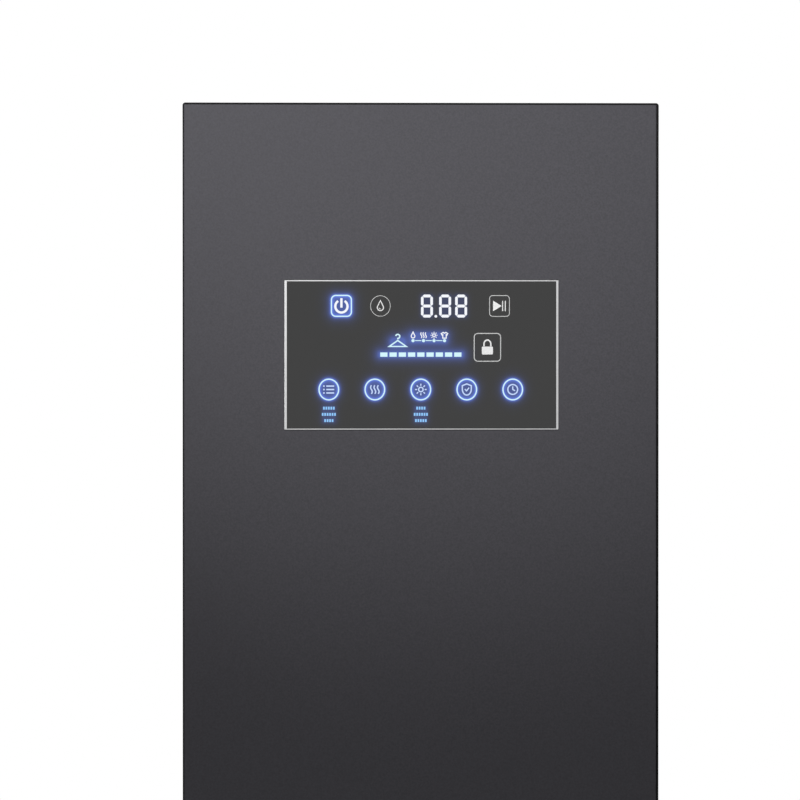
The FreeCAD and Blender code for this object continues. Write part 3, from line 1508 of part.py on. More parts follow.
def bottom_hinge_bracket():
    """The bottom hinge: a folded plate on the cabinet's front under the door, with a pin up into it."""
    top = door_bottom - bush_flange - touch_gap
    x = (hinge_x + arm_half_width - bracket_width, hinge_x + arm_half_width)
    leaf = block(x, (cab_front - bracket_plate, cab_front), (foot_height + bracket_plate, top))
    start = Vector(hinge_x, hinge_y, top)
    arm = rod(arm_half_width, start, start - Z_AXIS * bracket_plate)
    under, face = top - bracket_plate, cab_front - bracket_plate
    shelf = block(about(hinge_x, 2 * arm_half_width), (hinge_y, cab_front), (under, top))
    web = [Vector(x[0], face, top), Vector(x[0], face, under),
           Vector(hinge_x, hinge_y, under), Vector(hinge_x, hinge_y, top)]
    gusset = prism(polygon(web), X_AXIS * bracket_plate)
    pin_top = start + Z_AXIS * (touch_gap + bush_flange + pin_length)
    pin = rod(pin_radius, start - Z_AXIS * bracket_plate, pin_top)
    return leaf.fuse([arm, shelf, pin, gusset]).removeSplitter()


def top_hinge_cover():
    """A moulded cover over the hinge plate on the cabinet's top."""
    wall = door_liner
    x = (hinge_x + arm_half_width - bracket_width - wall, hinge_x + arm_half_width + wall)
    start = cab_front + 2 * touch_gap
    y = (start, start + bracket_length + wall)
    height = overall_height - cab_top
    cover = rounded_block(x, y, (cab_top, cab_top + height), corner_radius, Z_AXIS)
    plate = block((x[0] + wall - fit / 2, x[1] - wall + fit / 2), (y[0] - fit, y[1] - wall + fit / 2),
                  (cab_top - fit, cab_top + bracket_plate + fit / 2))
    return cover.cut(plate)


def pieces():
    """Every piece of the closet, by the name of its node."""
    feet = foot_places()
    return {
        "left_side_panel": side_panel(-1),
        "right_side_panel": side_panel(1),
        "top_panel": top_panel(),
        "back_panel": back_panel(),
        "base_pan": base_pan(),
        "lower_front_cover": lower_front_cover(),
        "left_liner": side_liner(-1),
        "right_liner": side_liner(1),
        "back_liner": back_liner(),
        "ceiling_liner": ceiling_liner(),
        "chamber_floor": chamber_floor(),
        "foam_insulation": foam_insulation(),
        "tank_wells": tank_wells(),
        "hanging_rail": hanging_rail(),
        "rail_sockets": rail_sockets(),
        "lamp_lens": lamp_lens(),
        "top_hinge_bracket": top_hinge_bracket(),
        "bottom_hinge_bracket": bottom_hinge_bracket(),
        "top_hinge_cover": top_hinge_cover(),
        "blower_scroll": blower_scroll(),
        "blower_inlet_cover": blower_inlet_cover(),
        "blower_motor": blower_motor(),
        "blower_impeller": blower_impeller(),
        "outlet_duct": outlet_duct(),
        "heater_core": heater_core(),
        "steam_generator": steam_generator(),
        "steam_nozzle": steam_nozzle(),
        "steam_hose": steam_hose(),
        "feed_pump": feed_pump(),
        "feed_hose": feed_hose(),
        "control_box": control_box(),
        "cord_gland": cord_gland(),
        "rear_feet": Part.makeCompound([foot(place) for place in feet["rear"]]),
        "front_left_foot": foot(feet["front"][0]),
        "front_right_foot": foot(feet["front"][1]),
        "door_skin": door_skin(),
        "door_top_cap": door_top_cap(),
        "door_bottom_cap": door_bottom_cap(),
        "door_grip_trim": door_grip_trim(),
        "door_hinge_trim": door_trim(1, edge_lip),
        "door_liner": door_liner_panel(),
        "door_gasket": door_gasket(),
        "door_insulation": door_insulation(),
        "hinge_bushes": hinge_bushes(),
        "panel_bezel": panel_bezel(),
        "touch_glass": touch_glass(),
        "display_board": display_board(),
        "digit_module": digit_module(),
        "fill_tank": water_tank(-1),
        "fill_tank_lid": fill_tank_lid(),
        "fill_tank_handle": tank_handle(-1),
        "fill_cap": fill_cap(),
        "drain_tank": water_tank(1),
        "drain_tank_lid": drain_tank_lid(),
        "drain_tank_handle": tank_handle(1),
        "lint_filter": lint_filter(),
        "wire_shelf": wire_shelf(),
        "left_hanger": hanger(-hanger_spread / 2),
        "right_hanger": hanger(hanger_spread / 2),
    }


def main():
    """Writes each piece to its own file."""
    os.makedirs("parts", exist_ok=True)
    for name, shape in pieces().items():
        shape.exportStep(f"parts/{name}.step")


main()
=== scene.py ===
import json
import math

import bmesh
import bpy
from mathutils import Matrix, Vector


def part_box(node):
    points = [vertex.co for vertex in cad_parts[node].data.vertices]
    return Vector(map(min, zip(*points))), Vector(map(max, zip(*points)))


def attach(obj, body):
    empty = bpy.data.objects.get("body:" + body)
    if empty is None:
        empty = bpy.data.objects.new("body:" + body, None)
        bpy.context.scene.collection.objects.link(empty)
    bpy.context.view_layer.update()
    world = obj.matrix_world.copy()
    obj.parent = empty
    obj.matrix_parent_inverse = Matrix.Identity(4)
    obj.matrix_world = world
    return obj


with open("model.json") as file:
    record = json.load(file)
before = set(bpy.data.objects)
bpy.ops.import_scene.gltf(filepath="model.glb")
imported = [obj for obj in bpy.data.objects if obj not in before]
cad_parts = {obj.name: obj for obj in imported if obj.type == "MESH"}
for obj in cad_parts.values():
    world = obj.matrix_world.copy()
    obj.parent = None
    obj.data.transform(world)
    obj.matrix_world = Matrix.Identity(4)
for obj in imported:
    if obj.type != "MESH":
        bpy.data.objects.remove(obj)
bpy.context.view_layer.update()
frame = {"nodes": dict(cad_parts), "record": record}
nodes = frame["nodes"]
scene = bpy.context.scene
scene.view_settings.view_transform = "Standard"
print("frame loaded:", len(nodes), "nodes")


class Wire:  # one socket of a node tree; operators add Math nodes
    def __init__(self, tree, socket=None):
        self.tree = tree
        self.socket = socket

    def node(self, kind, settings=None, sockets=None, output=0):
        added = self.tree.nodes.new(kind)
        for key, value in (settings or {}).items():
            setattr(added, key, value)
        for key, value in (sockets or {}).items():
            if isinstance(value, Wire):
                self.tree.links.new(value.socket, added.inputs[key])
            else:
                added.inputs[key].default_value = value
        return Wire(self.tree, added.outputs[output] if added.outputs else None)

    def maths(self, operation, first, second=0.0):
        return self.node("ShaderNodeMath", {"operation": operation}, {0: first, 1: second})

    def __add__(self, other):
        return self.maths("ADD", self, other)

    def __radd__(self, other):
        return self.maths("ADD", other, self)

    def __sub__(self, other):
        return self.maths("SUBTRACT", self, other)

    def __rsub__(self, other):
        return self.maths("SUBTRACT", other, self)

    def __mul__(self, other):
        return self.maths("MULTIPLY", self, other)

    def __rmul__(self, other):
        return self.maths("MULTIPLY", other, self)

    def __truediv__(self, other):
        return self.maths("DIVIDE", self, other)

    def __rtruediv__(self, other):
        return self.maths("DIVIDE", other, self)

    def __abs__(self):
        return self.maths("ABSOLUTE", self)

    def atLeast(self, other):
        return self.maths("MAXIMUM", self, other)

    def atMost(self, other):
        return self.maths("MINIMUM", self, other)

    def held(self):  # kept between 0 and 1
        return self.atLeast(0.0).atMost(1.0)

    def length(self, other):
        return self.maths("SQRT", self * self + other * other)

    def fading(self, reach):  # 1 at zero, dying away over the reach
        return self.maths("EXPONENT", self * (-1.0 / reach))

    def blend(self, first, second):  # two colours, by this factor
        return self.node("ShaderNodeMix", {"data_type": "RGBA"}, {0: self, 6: first, 7: second}, 2)

    def place(self):
        return self.node("ShaderNodeTexCoord", None, None, "Object")

    def placeAlong(self, axis):
        return self.node("ShaderNodeSeparateXYZ", None, {0: self.place()}, axis)


def tone(colour, gain=1.0):
    return tuple(min(1.0, part * gain) for part in colour) + (1.0,)


def noiseOn(start, scale, detail=3.0, stretch=(1.0, 1.0, 1.0)):
    place = start.node("ShaderNodeMapping", None, {"Vector": start.place(), "Scale": stretch})
    return start.node("ShaderNodeTexNoise", None, {"Vector": place, "Scale": scale, "Detail": detail})


def cellsOn(start, scale):
    return start.node("ShaderNodeTexVoronoi", None, {"Vector": start.place(), "Scale": scale}, "Distance")


def flecked(fleck, colour, spread, contrast=2.5):  # a colour that a noise makes lighter and darker
    return ((fleck - 0.5) * contrast + 0.5).held().blend(tone(colour, 1 - spread), tone(colour, 1 + spread))


def bumped(height, strength, distance):
    return height.node("ShaderNodeBump", None,
                       {"Strength": strength, "Distance": distance, "Height": height}, "Normal")


def newMaterial(name, surface):
    material = bpy.data.materials.new(name)
    material.use_nodes = True
    material.node_tree.nodes.clear()
    start = Wire(material.node_tree)
    start.node("ShaderNodeOutputMaterial", None, {"Surface": surface(start)})
    return material


def newFinish(name, dress):
    return newMaterial(name, lambda start: start.node("ShaderNodeBsdfPrincipled", None, dress(start), "BSDF"))


# Finishes. Each function gives the sockets of one Principled shader.

def powderCoat(colour, rough):
    def dress(start):
        pebble = noiseOn(start, scale=620.0, detail=4.0)
        drift = noiseOn(start, scale=5.0, detail=1.0)
        return {"Base Color": flecked(pebble * 0.9 + drift * 0.1, colour, spread=0.15),
                "Roughness": rough + (pebble - 0.5) * 0.25,
                "Specular IOR Level": 0.13,
                "Normal": bumped(pebble, strength=0.12, distance=0.0004)}
    return dress


def moulded(colour, rough, grain=900.0, depth=0.08, specular=0.35, spread=0.05):
    def dress(start):
        skin = noiseOn(start, scale=grain)
        drift = noiseOn(start, scale=7.0, detail=1.0)
        return {"Base Color": flecked(drift * 0.3 + skin * 0.7, colour, spread),
                "Roughness": rough + (skin - 0.5) * 0.2,
                "Specular IOR Level": specular,
                "Normal": bumped(skin, strength=depth, distance=0.0003)}
    return dress


def brushed(colour, rough, stretch):
    def dress(start):
        lines = noiseOn(start, scale=900.0, detail=4.0, stretch=stretch)
        return {"Base Color": flecked(lines, colour, spread=0.08),
                "Metallic": 1.0,
                "Roughness": rough + (lines - 0.5) * 0.2,
                "Normal": bumped(lines, strength=0.06, distance=0.0002)}
    return dress


def frameSilver(colour, rough, gapShadeColour, steep=5000.0):  # bright rim; painted shade: black behind the door's face, standing in for the shade in the gap there
    def dress(start):
        lines = noiseOn(start, scale=900.0, detail=4.0, stretch=(0.05, 1.0, 1.0))
        # painted shade: 0 on the rim's face, 1 behind the door's face, where the gap's shade is painted dark
        gapShade = ((start.placeAlong("Y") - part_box("door_skin")[0].y) * steep).held()
        return {"Base Color": gapShade.blend(flecked(lines, colour, spread=0.03), tone(gapShadeColour)),
                "Metallic": 1.0 - gapShade,
                "Roughness": rough + (lines - 0.5) * 0.08 + gapShade * 0.4,
                "Specular IOR Level": 0.1}
    return dress


def zincSheet(colour, rough):
    def dress(start):
        flake = cellsOn(start, scale=95.0)
        smear = noiseOn(start, scale=40.0)
        return {"Base Color": flecked(flake * 0.6 + smear * 0.5, colour, spread=0.14),
                "Metallic": 0.65,
                "Roughness": rough + (flake - 0.4) * 0.25,
                "Normal": bumped(smear, strength=0.05, distance=0.0005)}
    return dress


def polished(colour, rough):
    def dress(start):
        smudge = noiseOn(start, scale=30.0)
        return {"Base Color": flecked(smudge, colour, spread=0.04),
                "Metallic": 1.0,
                "Roughness": rough + (smudge - 0.5) * 0.12}
    return dress


def clearPlastic(colour, rough):
    def dress(start):
        flow = noiseOn(start, scale=14.0, detail=1.0, stretch=(1.0, 1.0, 0.25))
        return {"Base Color": flecked(flow, colour, spread=0.02),
                "Roughness": rough + (flow - 0.5) * 0.06,
                "Transmission Weight": 0.7,
                "IOR": 1.46}
    return dress


def lampLens(colour, strength, dimmest):
    def dress(start):
        frost = noiseOn(start, scale=700.0, detail=2.0)
        return {"Base Color": flecked(frost, colour, spread=0.03),
                "Roughness": 0.5 + (frost - 0.5) * 0.2,
                "Emission Color": frost.blend(tone(colour, dimmest), tone(colour)),
                "Emission Strength": strength}
    return dress


def cellFoam(colour):
    def dress(start):
        cell = cellsOn(start, scale=650.0)
        return {"Base Color": flecked(cell, colour, spread=0.10),
                "Roughness": 0.9,
                "Specular IOR Level": 0.1,
                "Normal": bumped(cell, strength=0.35, distance=0.0008)}
    return dress


def circuitSheet(colour, trackColour):
    def dress(start):
        track = noiseOn(start, scale=260.0, detail=0.0, stretch=(1.0, 1.0, 0.15))
        copper = ((abs(track - 0.5) * -40.0) + 1.0).held()
        return {"Base Color": copper.blend(tone(colour), tone(trackColour)),
                "Roughness": 0.35 + copper * 0.15}
    return dress


finishes = {
    "door_paint": powderCoat((0.0660, 0.0644, 0.0730), 0.55),
    "cabinet_paint": powderCoat((0.0650, 0.0636, 0.0715), 0.55),
    "galvanised": zincSheet((0.37, 0.385, 0.395), 0.46),
    "edge_black": moulded((0.0065, 0.0065, 0.0068), 0.55, grain=1200.0, depth=0.06, specular=0.06),
    "liner_white": moulded((0.66, 0.67, 0.665), 0.42, grain=500.0, depth=0.03, spread=0.015),
    "machine_plastic": moulded((0.035, 0.036, 0.038), 0.5),
    "foam": cellFoam((0.78, 0.75, 0.62)),
    # the bezel's black behind the door's face is painted shade for the gap
    "bezel_silver": frameSilver((0.43, 0.43, 0.434), 0.3, gapShadeColour=(0.006, 0.006, 0.006)),
    "circuit_board": circuitSheet((0.012, 0.075, 0.035), trackColour=(0.20, 0.42, 0.20)),
    "digit_lamp": moulded((0.03, 0.03, 0.032), 0.4),
    "seal_rubber": moulded((0.022, 0.022, 0.023), 0.62, grain=1500.0, depth=0.05, specular=0.2),
    "hinge_steel": brushed((0.50, 0.50, 0.51), 0.34, stretch=(1.0, 0.06, 1.0)),
    "bush_white": moulded((0.72, 0.72, 0.69), 0.35),
    "tank_clear": clearPlastic((0.72, 0.82, 0.86), 0.22),
    "tank_lid_grey": moulded((0.115, 0.12, 0.127), 0.42),
    "handle_grey": moulded((0.048, 0.051, 0.055), 0.42),
    "cap_blue": moulded((0.09, 0.20, 0.34), 0.35),
    "filter_grey": moulded((0.17, 0.175, 0.18), 0.48),
    "rail_chrome": polished((0.74, 0.74, 0.75), 0.14),
    "socket_grey": moulded((0.30, 0.305, 0.31), 0.42),
    "shelf_wire": polished((0.62, 0.62, 0.63), 0.24),
    "hanger_plastic": moulded((0.055, 0.056, 0.06), 0.38),
    "lamp_diffuser": lampLens((0.86, 0.85, 0.81), strength=9.0, dimmest=0.94),
    "motor_metal": powderCoat((0.045, 0.045, 0.047), 0.42),
    "impeller_plastic": moulded((0.045, 0.046, 0.05), 0.45),
    "heater_metal": brushed((0.60, 0.60, 0.60), 0.32, stretch=(0.06, 1.0, 1.0)),
    "boiler_metal": polished((0.55, 0.55, 0.56), 0.26),
    "hose_silicone": moulded((0.62, 0.60, 0.55), 0.4),
    "pump_plastic": moulded((0.05, 0.055, 0.06), 0.45),
    "gland_black": moulded((0.016, 0.016, 0.017), 0.5),
    "foot_black": moulded((0.02, 0.02, 0.021), 0.6),
}

# The panel's signs. Millimetres, x to the right and z up: "at", "level" and the like from the middle of
# the glass, outlines from the middle of their own sign. Turns are degrees. A halo is its reach and strength.
mm = 0.001
glassLow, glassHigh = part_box("touch_glass")
glassMiddle = (glassLow + glassHigh) / 2
signs = {
    "proud": 0.12,
    "sunk": 0.04,
    "glowColour": (0.115, 0.235, 1.0),
    "rings": {"first": -86.67, "pitch": 42.98, "count": 5, "level": -32.3, "across": 9.13, "high": 9.65,
              "line": 1.15, "sides": 64, "halo": (2.5, 0.20), "rim": (0.85, 1.12), "inside": (0.7, 0.23)},
    "power": {"at": (-74.93, 45.8), "half": (9.31, 9.74), "corner": 4.1, "line": 1.12, "stroke": 2.1,
              "bow": (5.7, 5.8), "bowLevel": -0.4, "bowTurn": (122, 418), "bar": (-1.6, 7.2),
              "halo": (2.9, 0.29), "rim": (0.85, 0.95), "inside": (0.7, 0.27)},
    "water": {"at": (-38.5, 45.73), "half": (9.2, 9.6), "line": 0.5, "drop": 2.9, "stroke": 0.8,
              "shine": 1.4, "shineTurn": (190, 280), "shineStroke": 0.6},
    "digits": {"middles": (5.0, 22.0, 36.95), "level": 45.68, "half": (4.37, 9.4), "bar": 2.65,
               "upright": 2.4, "gap": 0.28, "point": (13.3, 36.1), "pointRadius": 1.3,
               "haloOver": 0.8, "haloCorner": 2.0, "halo": (1.6, 0.08)},
    "start": {"at": (72.84, 45.75), "half": (9.27, 9.72), "corner": 3.0, "line": 0.65,
              "arrow": ((-6.0, -4.9), (2.0, 0.0), (-6.0, 4.9)), "bars": (2.9, 5.45), "barSize": (0.85, 9.6)},
    "hanger": {"at": (-22.3, 12.9), "line": 1.3, "shoulders": ((-8.0, -5.0), (8.0, -5.0), (0.0, 0.6)),
               "hook": 1.9, "hookLevel": 4.4, "hookTurn": (170, -90), "neck": 1.7,
               "haloLevel": -1.0, "haloHalf": (6.5, 3.5), "haloCorner": 3.0, "halo": (3.0, 0.36)},
    "track": {"from": -8.0, "to": 21.4, "level": 13.4, "dots": 4, "dot": 1.5, "gap": 2.0, "line": 0.8,
              "haloOver": 2.0, "haloHigh": 4.2, "haloCorner": 2.0, "halo": (3.0, 0.36)},
    "stages": {"level": 18.4, "stroke": 0.9, "drop": 1.7, "wave": 2.1, "sun": 1.3, "rays": (2.2, 3.2),
               "rayStroke": 0.8,
               "shirt": ((-1.2, 2.7), (-3.1, 1.5), (-2.2, 0.1), (-1.6, 0.6), (-1.6, -2.7), (1.6, -2.7),
                         (1.6, 0.6), (2.2, 0.1), (3.1, 1.5), (1.2, 2.7), (0.0, 1.9))},
    "progress": {"from": -39.6, "to": 38.2, "level": 0.3, "count": 9, "filled": 0.78, "high": 4.0,
                 "haloHigh": 1.7, "haloCorner": 1.0, "halo": (3.0, 0.40)},
    "lock": {"at": (61.54, 7.1), "half": (12.34, 13.0), "corner": 3.4, "line": 0.85, "stroke": 1.3,
             "shackle": (3.2, 3.6), "shackleLevel": 3.2, "foot": 0.9,
             "body": (5.2, 3.7), "bodyLevel": -3.0, "bodyCorner": 1.0},
    "levels": {"columns": (0, 2), "rows": (-49.7, -55.5, -61.3), "blocks": ((5, 6, 4), (4, 6, 5)),
               "size": (1.6, 2.7), "pitch": 2.3, "haloHalf": (5.2, 7.0), "haloCorner": 1.5,
               "halo": (1.9, 0.13)},
    "keys": {"stroke": 1.2, "fine": 1.1, "rows": (3.2, 0.0, -3.2), "row": (-2.4, 5.0), "rowStroke": 1.3,
             "dotAcross": -4.6, "dot": (1.4, 1.4), "wave": 3.2, "sun": 2.1, "rays": (3.5, 5.4),
             "shield": (4.2, 5.6), "shieldLevel": 0.4, "shoulder": 3.6, "tip": 5.2,
             "tick": ((-1.8, 0.4), (-0.3, -1.3), (2.1, 1.7)), "clock": (4.6, 4.6),
             "hands": ((0.0, 2.9), (0.0, 0.0), (2.2, -1.2))},
}
ring, power, digits, levels = signs["rings"], signs["power"], signs["digits"], signs["levels"]
hanger, track, progress = signs["hanger"], signs["track"], signs["progress"]
plateDepth = (signs["proud"] + signs["sunk"]) * mm
plateLevel = (signs["sunk"] - signs["proud"]) / 2


def glow(start):  # light that the signs spread in the glass
    across = (start.placeAlong("X") - glassMiddle.x) / mm
    high = (start.placeAlong("Z") - glassMiddle.z) / mm

    def boxGap(middle, half, corner):  # distance to a rounded rectangle, negative inside
        overX = abs(across - middle[0]) - (half[0] - corner)
        overZ = abs(high - middle[1]) - (half[1] - corner)
        return overX.atLeast(0.0).length(overZ.atLeast(0.0)) + overX.atLeast(overZ).atMost(0.0) - corner

    def halo(gap, reach, strength):
        return gap.fading(reach) * strength

    def keyLight(gap, key):  # both sides of a lit line, and the face inside it
        steep, strength = key["inside"]
        return halo(abs(gap), *key["halo"]) + halo(abs(gap), *key["rim"]) + (gap * -steep).held() * strength

    step = start.maths("ROUND", (across - ring["first"]) / ring["pitch"])
    step = step.atLeast(0.0).atMost(ring["count"] - 1.0)
    ringGap = (across - ring["first"] - step * ring["pitch"]).length(
        (high - ring["level"]) * (ring["across"] / ring["high"])) - ring["across"]
    light = keyLight(ringGap, ring) + keyLight(boxGap(power["at"], power["half"], power["corner"]), power)
    for middle in digits["middles"]:
        half = [size + digits["haloOver"] for size in digits["half"]]
        digitGap = boxGap((middle, digits["level"]), half, digits["haloCorner"])
        light = light + halo(digitGap.atLeast(0.0), *digits["halo"])
    barGap = boxGap(((progress["from"] + progress["to"]) / 2, progress["level"]),
                    ((progress["to"] - progress["from"]) / 2, progress["haloHigh"]), progress["haloCorner"])
    trackGap = boxGap(((track["from"] + track["to"]) / 2, (track["level"] + signs["stages"]["level"]) / 2),
                      ((track["to"] - track["from"]) / 2 + track["haloOver"], track["haloHigh"]),
                      track["haloCorner"])
    hangerGap = boxGap((hanger["at"][0], hanger["at"][1] + hanger["haloLevel"]), hanger["haloHalf"],
                       hanger["haloCorner"])
    for gap, sign in ((barGap, progress), (trackGap, track), (hangerGap, hanger)):
        light = light + halo(gap.atLeast(0.0), *sign["halo"])
    for column in levels["columns"]:
        columnGap = boxGap((ring["first"] + column * ring["pitch"], levels["rows"][1]), levels["haloHalf"],
                           levels["haloCorner"])
        light = light + halo(columnGap.atLeast(0.0), *levels["halo"])
    return light.held().blend((0.0, 0.0, 0.0, 1.0), tone(signs["glowColour"]))


def smokedGlass(start):
    smear = noiseOn(start, scale=18.0, detail=2.0)
    return {"Base Color": flecked(smear, (0.0085, 0.0085, 0.0085), spread=0.04),
            "Roughness": 0.06 + (smear - 0.5) * 0.03,
            "Specular IOR Level": 0.6,
            "Emission Color": glow(start),
            "Emission Strength": 1.0}


def litSign(colour, dimmest):
    def dress(start):
        lamp = noiseOn(start, scale=120.0, detail=1.0)
        return {"Base Color": (0.02, 0.02, 0.02, 1.0),
                "Roughness": 0.4,
                "Specular IOR Level": 0.1,
                "Emission Color": lamp.blend(tone(colour, dimmest), tone(colour)),
                "Emission Strength": 1.0}
    return dress


def printedSign(colour):
    def dress(start):
        ink = noiseOn(start, scale=800.0, detail=2.0)
        return {"Base Color": flecked(ink, colour, spread=0.06), "Roughness": 0.5 + (ink - 0.5) * 0.2}
    return dress


finishes["smoked_glass"] = smokedGlass
slotFinish = {slot: newFinish(slot, dress) for slot, dress in finishes.items()}
for part in frame["record"]["subparts"]:
    meshData = nodes[part["node"]].data
    meshData.materials.clear()
    meshData.materials.append(slotFinish[part["material_slot"]])
signFinish = {
    "lit": newFinish("sign_lit", litSign((0.66, 0.93, 1.0), dimmest=0.92)),
    "white": newFinish("sign_white", litSign((0.93, 0.95, 1.0), dimmest=0.95)),
    "blue": newFinish("sign_blue", litSign((0.27, 0.58, 1.0), dimmest=0.9)),
    "soft": newFinish("sign_soft", litSign((0.55, 0.69, 1.0), dimmest=0.95)),
    "grey": newFinish("sign_grey", printedSign((0.54, 0.54, 0.54))),
    "pale": newFinish("sign_pale", printedSign((0.80, 0.80, 0.80))),
}
print("finishes on", len(nodes), "nodes")


def arc(middle, half, start, end, count):
    steps = [math.radians(start + (end - start) * i / count) for i in range(count + 1)]
    return [(middle[0] + half[0] * math.cos(a), middle[1] + half[1] * math.sin(a)) for a in steps]


def ellipse(middle, half, count=48):
    return arc(middle, half, 0, 360, count)[:-1]


def disc(middle, radius, count):
    return ellipse(middle, (radius, radius), count)


def roundedBox(middle, half, corner, count=8):
    points = []
    for turn, (sideX, sideZ) in enumerate(((1, 1), (-1, 1), (-1, -1), (1, -1))):
        centre = (middle[0] + sideX * (half[0] - corner), middle[1] + sideZ * (half[1] - corner))
        points += arc(centre, (corner, corner), turn * 90, turn * 90 + 90, count)
    return points


def box(middle, size):
    x, z, w, h = middle[0], middle[1], size[0] / 2, size[1] / 2
    return [(x - w, z - h), (x + w, z - h), (x + w, z + h), (x - w, z + h)]


def moved(points, middle):
    return [(middle[0] + x, middle[1] + z) for x, z in points]


# Strokes are a line's points, its width and whether it closes

def keyFrame(key):
    return (roundedBox(key["at"], key["half"], key["corner"]), key["line"], True)


def dropStroke(middle, radius, width):
    bowl = arc((0.0, -0.5 * radius), (radius, radius), 150, 390, 24)
    return (moved(bowl + [(0.0, 1.75 * radius)], middle), width, True)


def waveStrokes(middle, pitch, width, steps=5):  # three lines, each one full wave
    bend, tall = 0.25 * pitch, 1.25 * pitch
    wave = [(bend * math.sin(i * math.pi / steps), (i / steps - 1) * tall) for i in range(2 * steps + 1)]
    return [(moved(wave, (middle[0] + side * pitch, middle[1])), width, False) for side in (-1, 0, 1)]


def sunStrokes(middle, radius, rays, width, rayWidth, count):
    turns = [i * math.pi / 4 for i in range(8)]
    lines = [moved([(reach * math.cos(a), reach * math.sin(a)) for reach in rays], middle) for a in turns]
    return [(disc(middle, radius, count), width, True)] + [(line, rayWidth, False) for line in lines]


def strokeSides(points, width, closed, mitre=0.35):  # the two edges of a line of even width
    count, left, right = len(points), [], []
    for i, point in enumerate(points):
        before = points[i - 1] if closed or i else point
        after = points[(i + 1) % count] if closed or i < count - 1 else point
        arrive, leave = Vector(point) - Vector(before), Vector(after) - Vector(point)
        arrive = arrive.normalized() if arrive.length else leave.normalized()
        leave = leave.normalized() if leave.length else arrive
        across = Vector((-arrive.y - leave.y, arrive.x + leave.x)).normalized()
        reach = width / 2 / max(mitre, across.dot(Vector((-arrive.y, arrive.x))))
        left.append(Vector(point) + across * reach)
        right.append(Vector(point) - across * reach)
    return left, right


def onGlass(point, depth):  # a sign's point in the frame, this far behind the face of the glass
    return (glassMiddle.x + point[0] * mm, glassLow.y + depth * mm, glassMiddle.z + point[1] * mm)


def signMesh(name, finish, strokes=(), fills=()):  # thin raised plates on the glass, riding the door
    plates = bmesh.new()

    def vert(point):
        return plates.verts.new(onGlass(point, signs["sunk"]))

    for points, width, closed in strokes:
        left, right = strokeSides(points, width, closed)
        left, right = [vert(p) for p in left], [vert(p) for p in right]
        for i in range(len(points) if closed else len(points) - 1):
            j = (i + 1) % len(points)
            plates.faces.new((left[i], left[j], right[j], right[i]))
    for points in fills:
        plates.faces.new([vert(p) for p in points])
    lifted = bmesh.ops.extrude_face_region(plates, geom=plates.faces[:])["geom"]
    bmesh.ops.translate(plates, verts=[v for v in lifted if isinstance(v, bmesh.types.BMVert)],
                        vec=(0.0, -plateDepth, 0.0))
    bmesh.ops.recalc_face_normals(plates, faces=plates.faces[:])
    piece = bpy.data.objects.new(name, bpy.data.meshes.new(name))
    plates.to_mesh(piece.data)
    plates.free()
    piece.data.materials.append(signFinish[finish])
    scene.collection.objects.link(piece)
    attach(piece, "door")
    return piece


# Power key
bow = arc((0.0, power["bowLevel"]), power["bow"], *power["bowTurn"], 40)
bar = [(0.0, z) for z in power["bar"]]
signMesh("power_key", "lit", [keyFrame(power)])
signMesh("power_sign", "white", [(moved(line, power["at"]), power["stroke"], False) for line in (bow, bar)])

# Water sign
water = signs["water"]
shine = arc((0.0, -water["shine"]), (water["shine"], water["shine"]), *water["shineTurn"], 8)
signMesh("water_ring", "grey", [(ellipse(water["at"], water["half"]), water["line"], True)])
signMesh("water_drop", "pale", [dropStroke(water["at"], water["drop"], water["stroke"]),
                                (moved(shine, water["at"]), water["shineStroke"], False)])


# Digits, all bars lit
def digitBars(middle):
    w, h = digits["half"]
    t, u, gap = digits["bar"] / 2, digits["upright"] / 2, digits["gap"]
    bars = []
    for z in (-h, 0.0, h):
        near, far = -w + gap, w - gap
        bars.append([(near, z), (near + t, z - t), (far - t, z - t), (far, z), (far - t, z + t),
                     (near + t, z + t)])
    for x in (-w, w):
        for low, top in ((-h + gap, -gap), (gap, h - gap)):
            bars.append([(x, low), (x + u, low + u), (x + u, top - u), (x, top), (x - u, top - u),
                         (x - u, low + u)])
    return [moved(bar, (middle, digits["level"])) for bar in bars]


signMesh("digit_bars", "white", (),
         [bar for middle in digits["middles"] for bar in digitBars(middle)]
         + [disc(digits["point"], digits["pointRadius"], 16)])

# Start and pause key
startKey = signs["start"]
pauseBars = [box((across, 0.0), startKey["barSize"]) for across in startKey["bars"]]
signMesh("start_key", "grey", [keyFrame(startKey)])
signMesh("start_sign", "pale", (),
         [moved(shape, startKey["at"]) for shape in [startKey["arrow"]] + pauseBars])

# Hanger, stage track and the signs above it
hook = arc((0.0, hanger["hookLevel"]), (hanger["hook"], hanger["hook"]), *hanger["hookTurn"], 16)
signMesh("hanger_sign", "lit",
         [(moved(hanger["shoulders"], hanger["at"]), hanger["line"], True),
          (moved(hook + [(0.0, hanger["neck"])], hanger["at"]), hanger["line"], False)])
trackStep = (track["to"] - track["from"]) / (track["dots"] - 1)
stops = [track["from"] + trackStep * i for i in range(track["dots"])]
signMesh("stage_track", "lit",
         [([(a + track["gap"], track["level"]), (b - track["gap"], track["level"])], track["line"], False)
          for a, b in zip(stops, stops[1:])],
         [disc((x, track["level"]), track["dot"], 20) for x in stops])
stages = signs["stages"]
dropAt, waveAt, sunAt, shirtAt = [(x, stages["level"]) for x in stops]
signMesh("stage_signs", "white",
         [dropStroke(dropAt, stages["drop"], stages["stroke"])]
         + waveStrokes(waveAt, stages["wave"], stages["stroke"])
         + sunStrokes(sunAt, stages["sun"], stages["rays"], stages["stroke"], stages["rayStroke"], 20)
         + [(moved(stages["shirt"], shirtAt), stages["stroke"], True)])

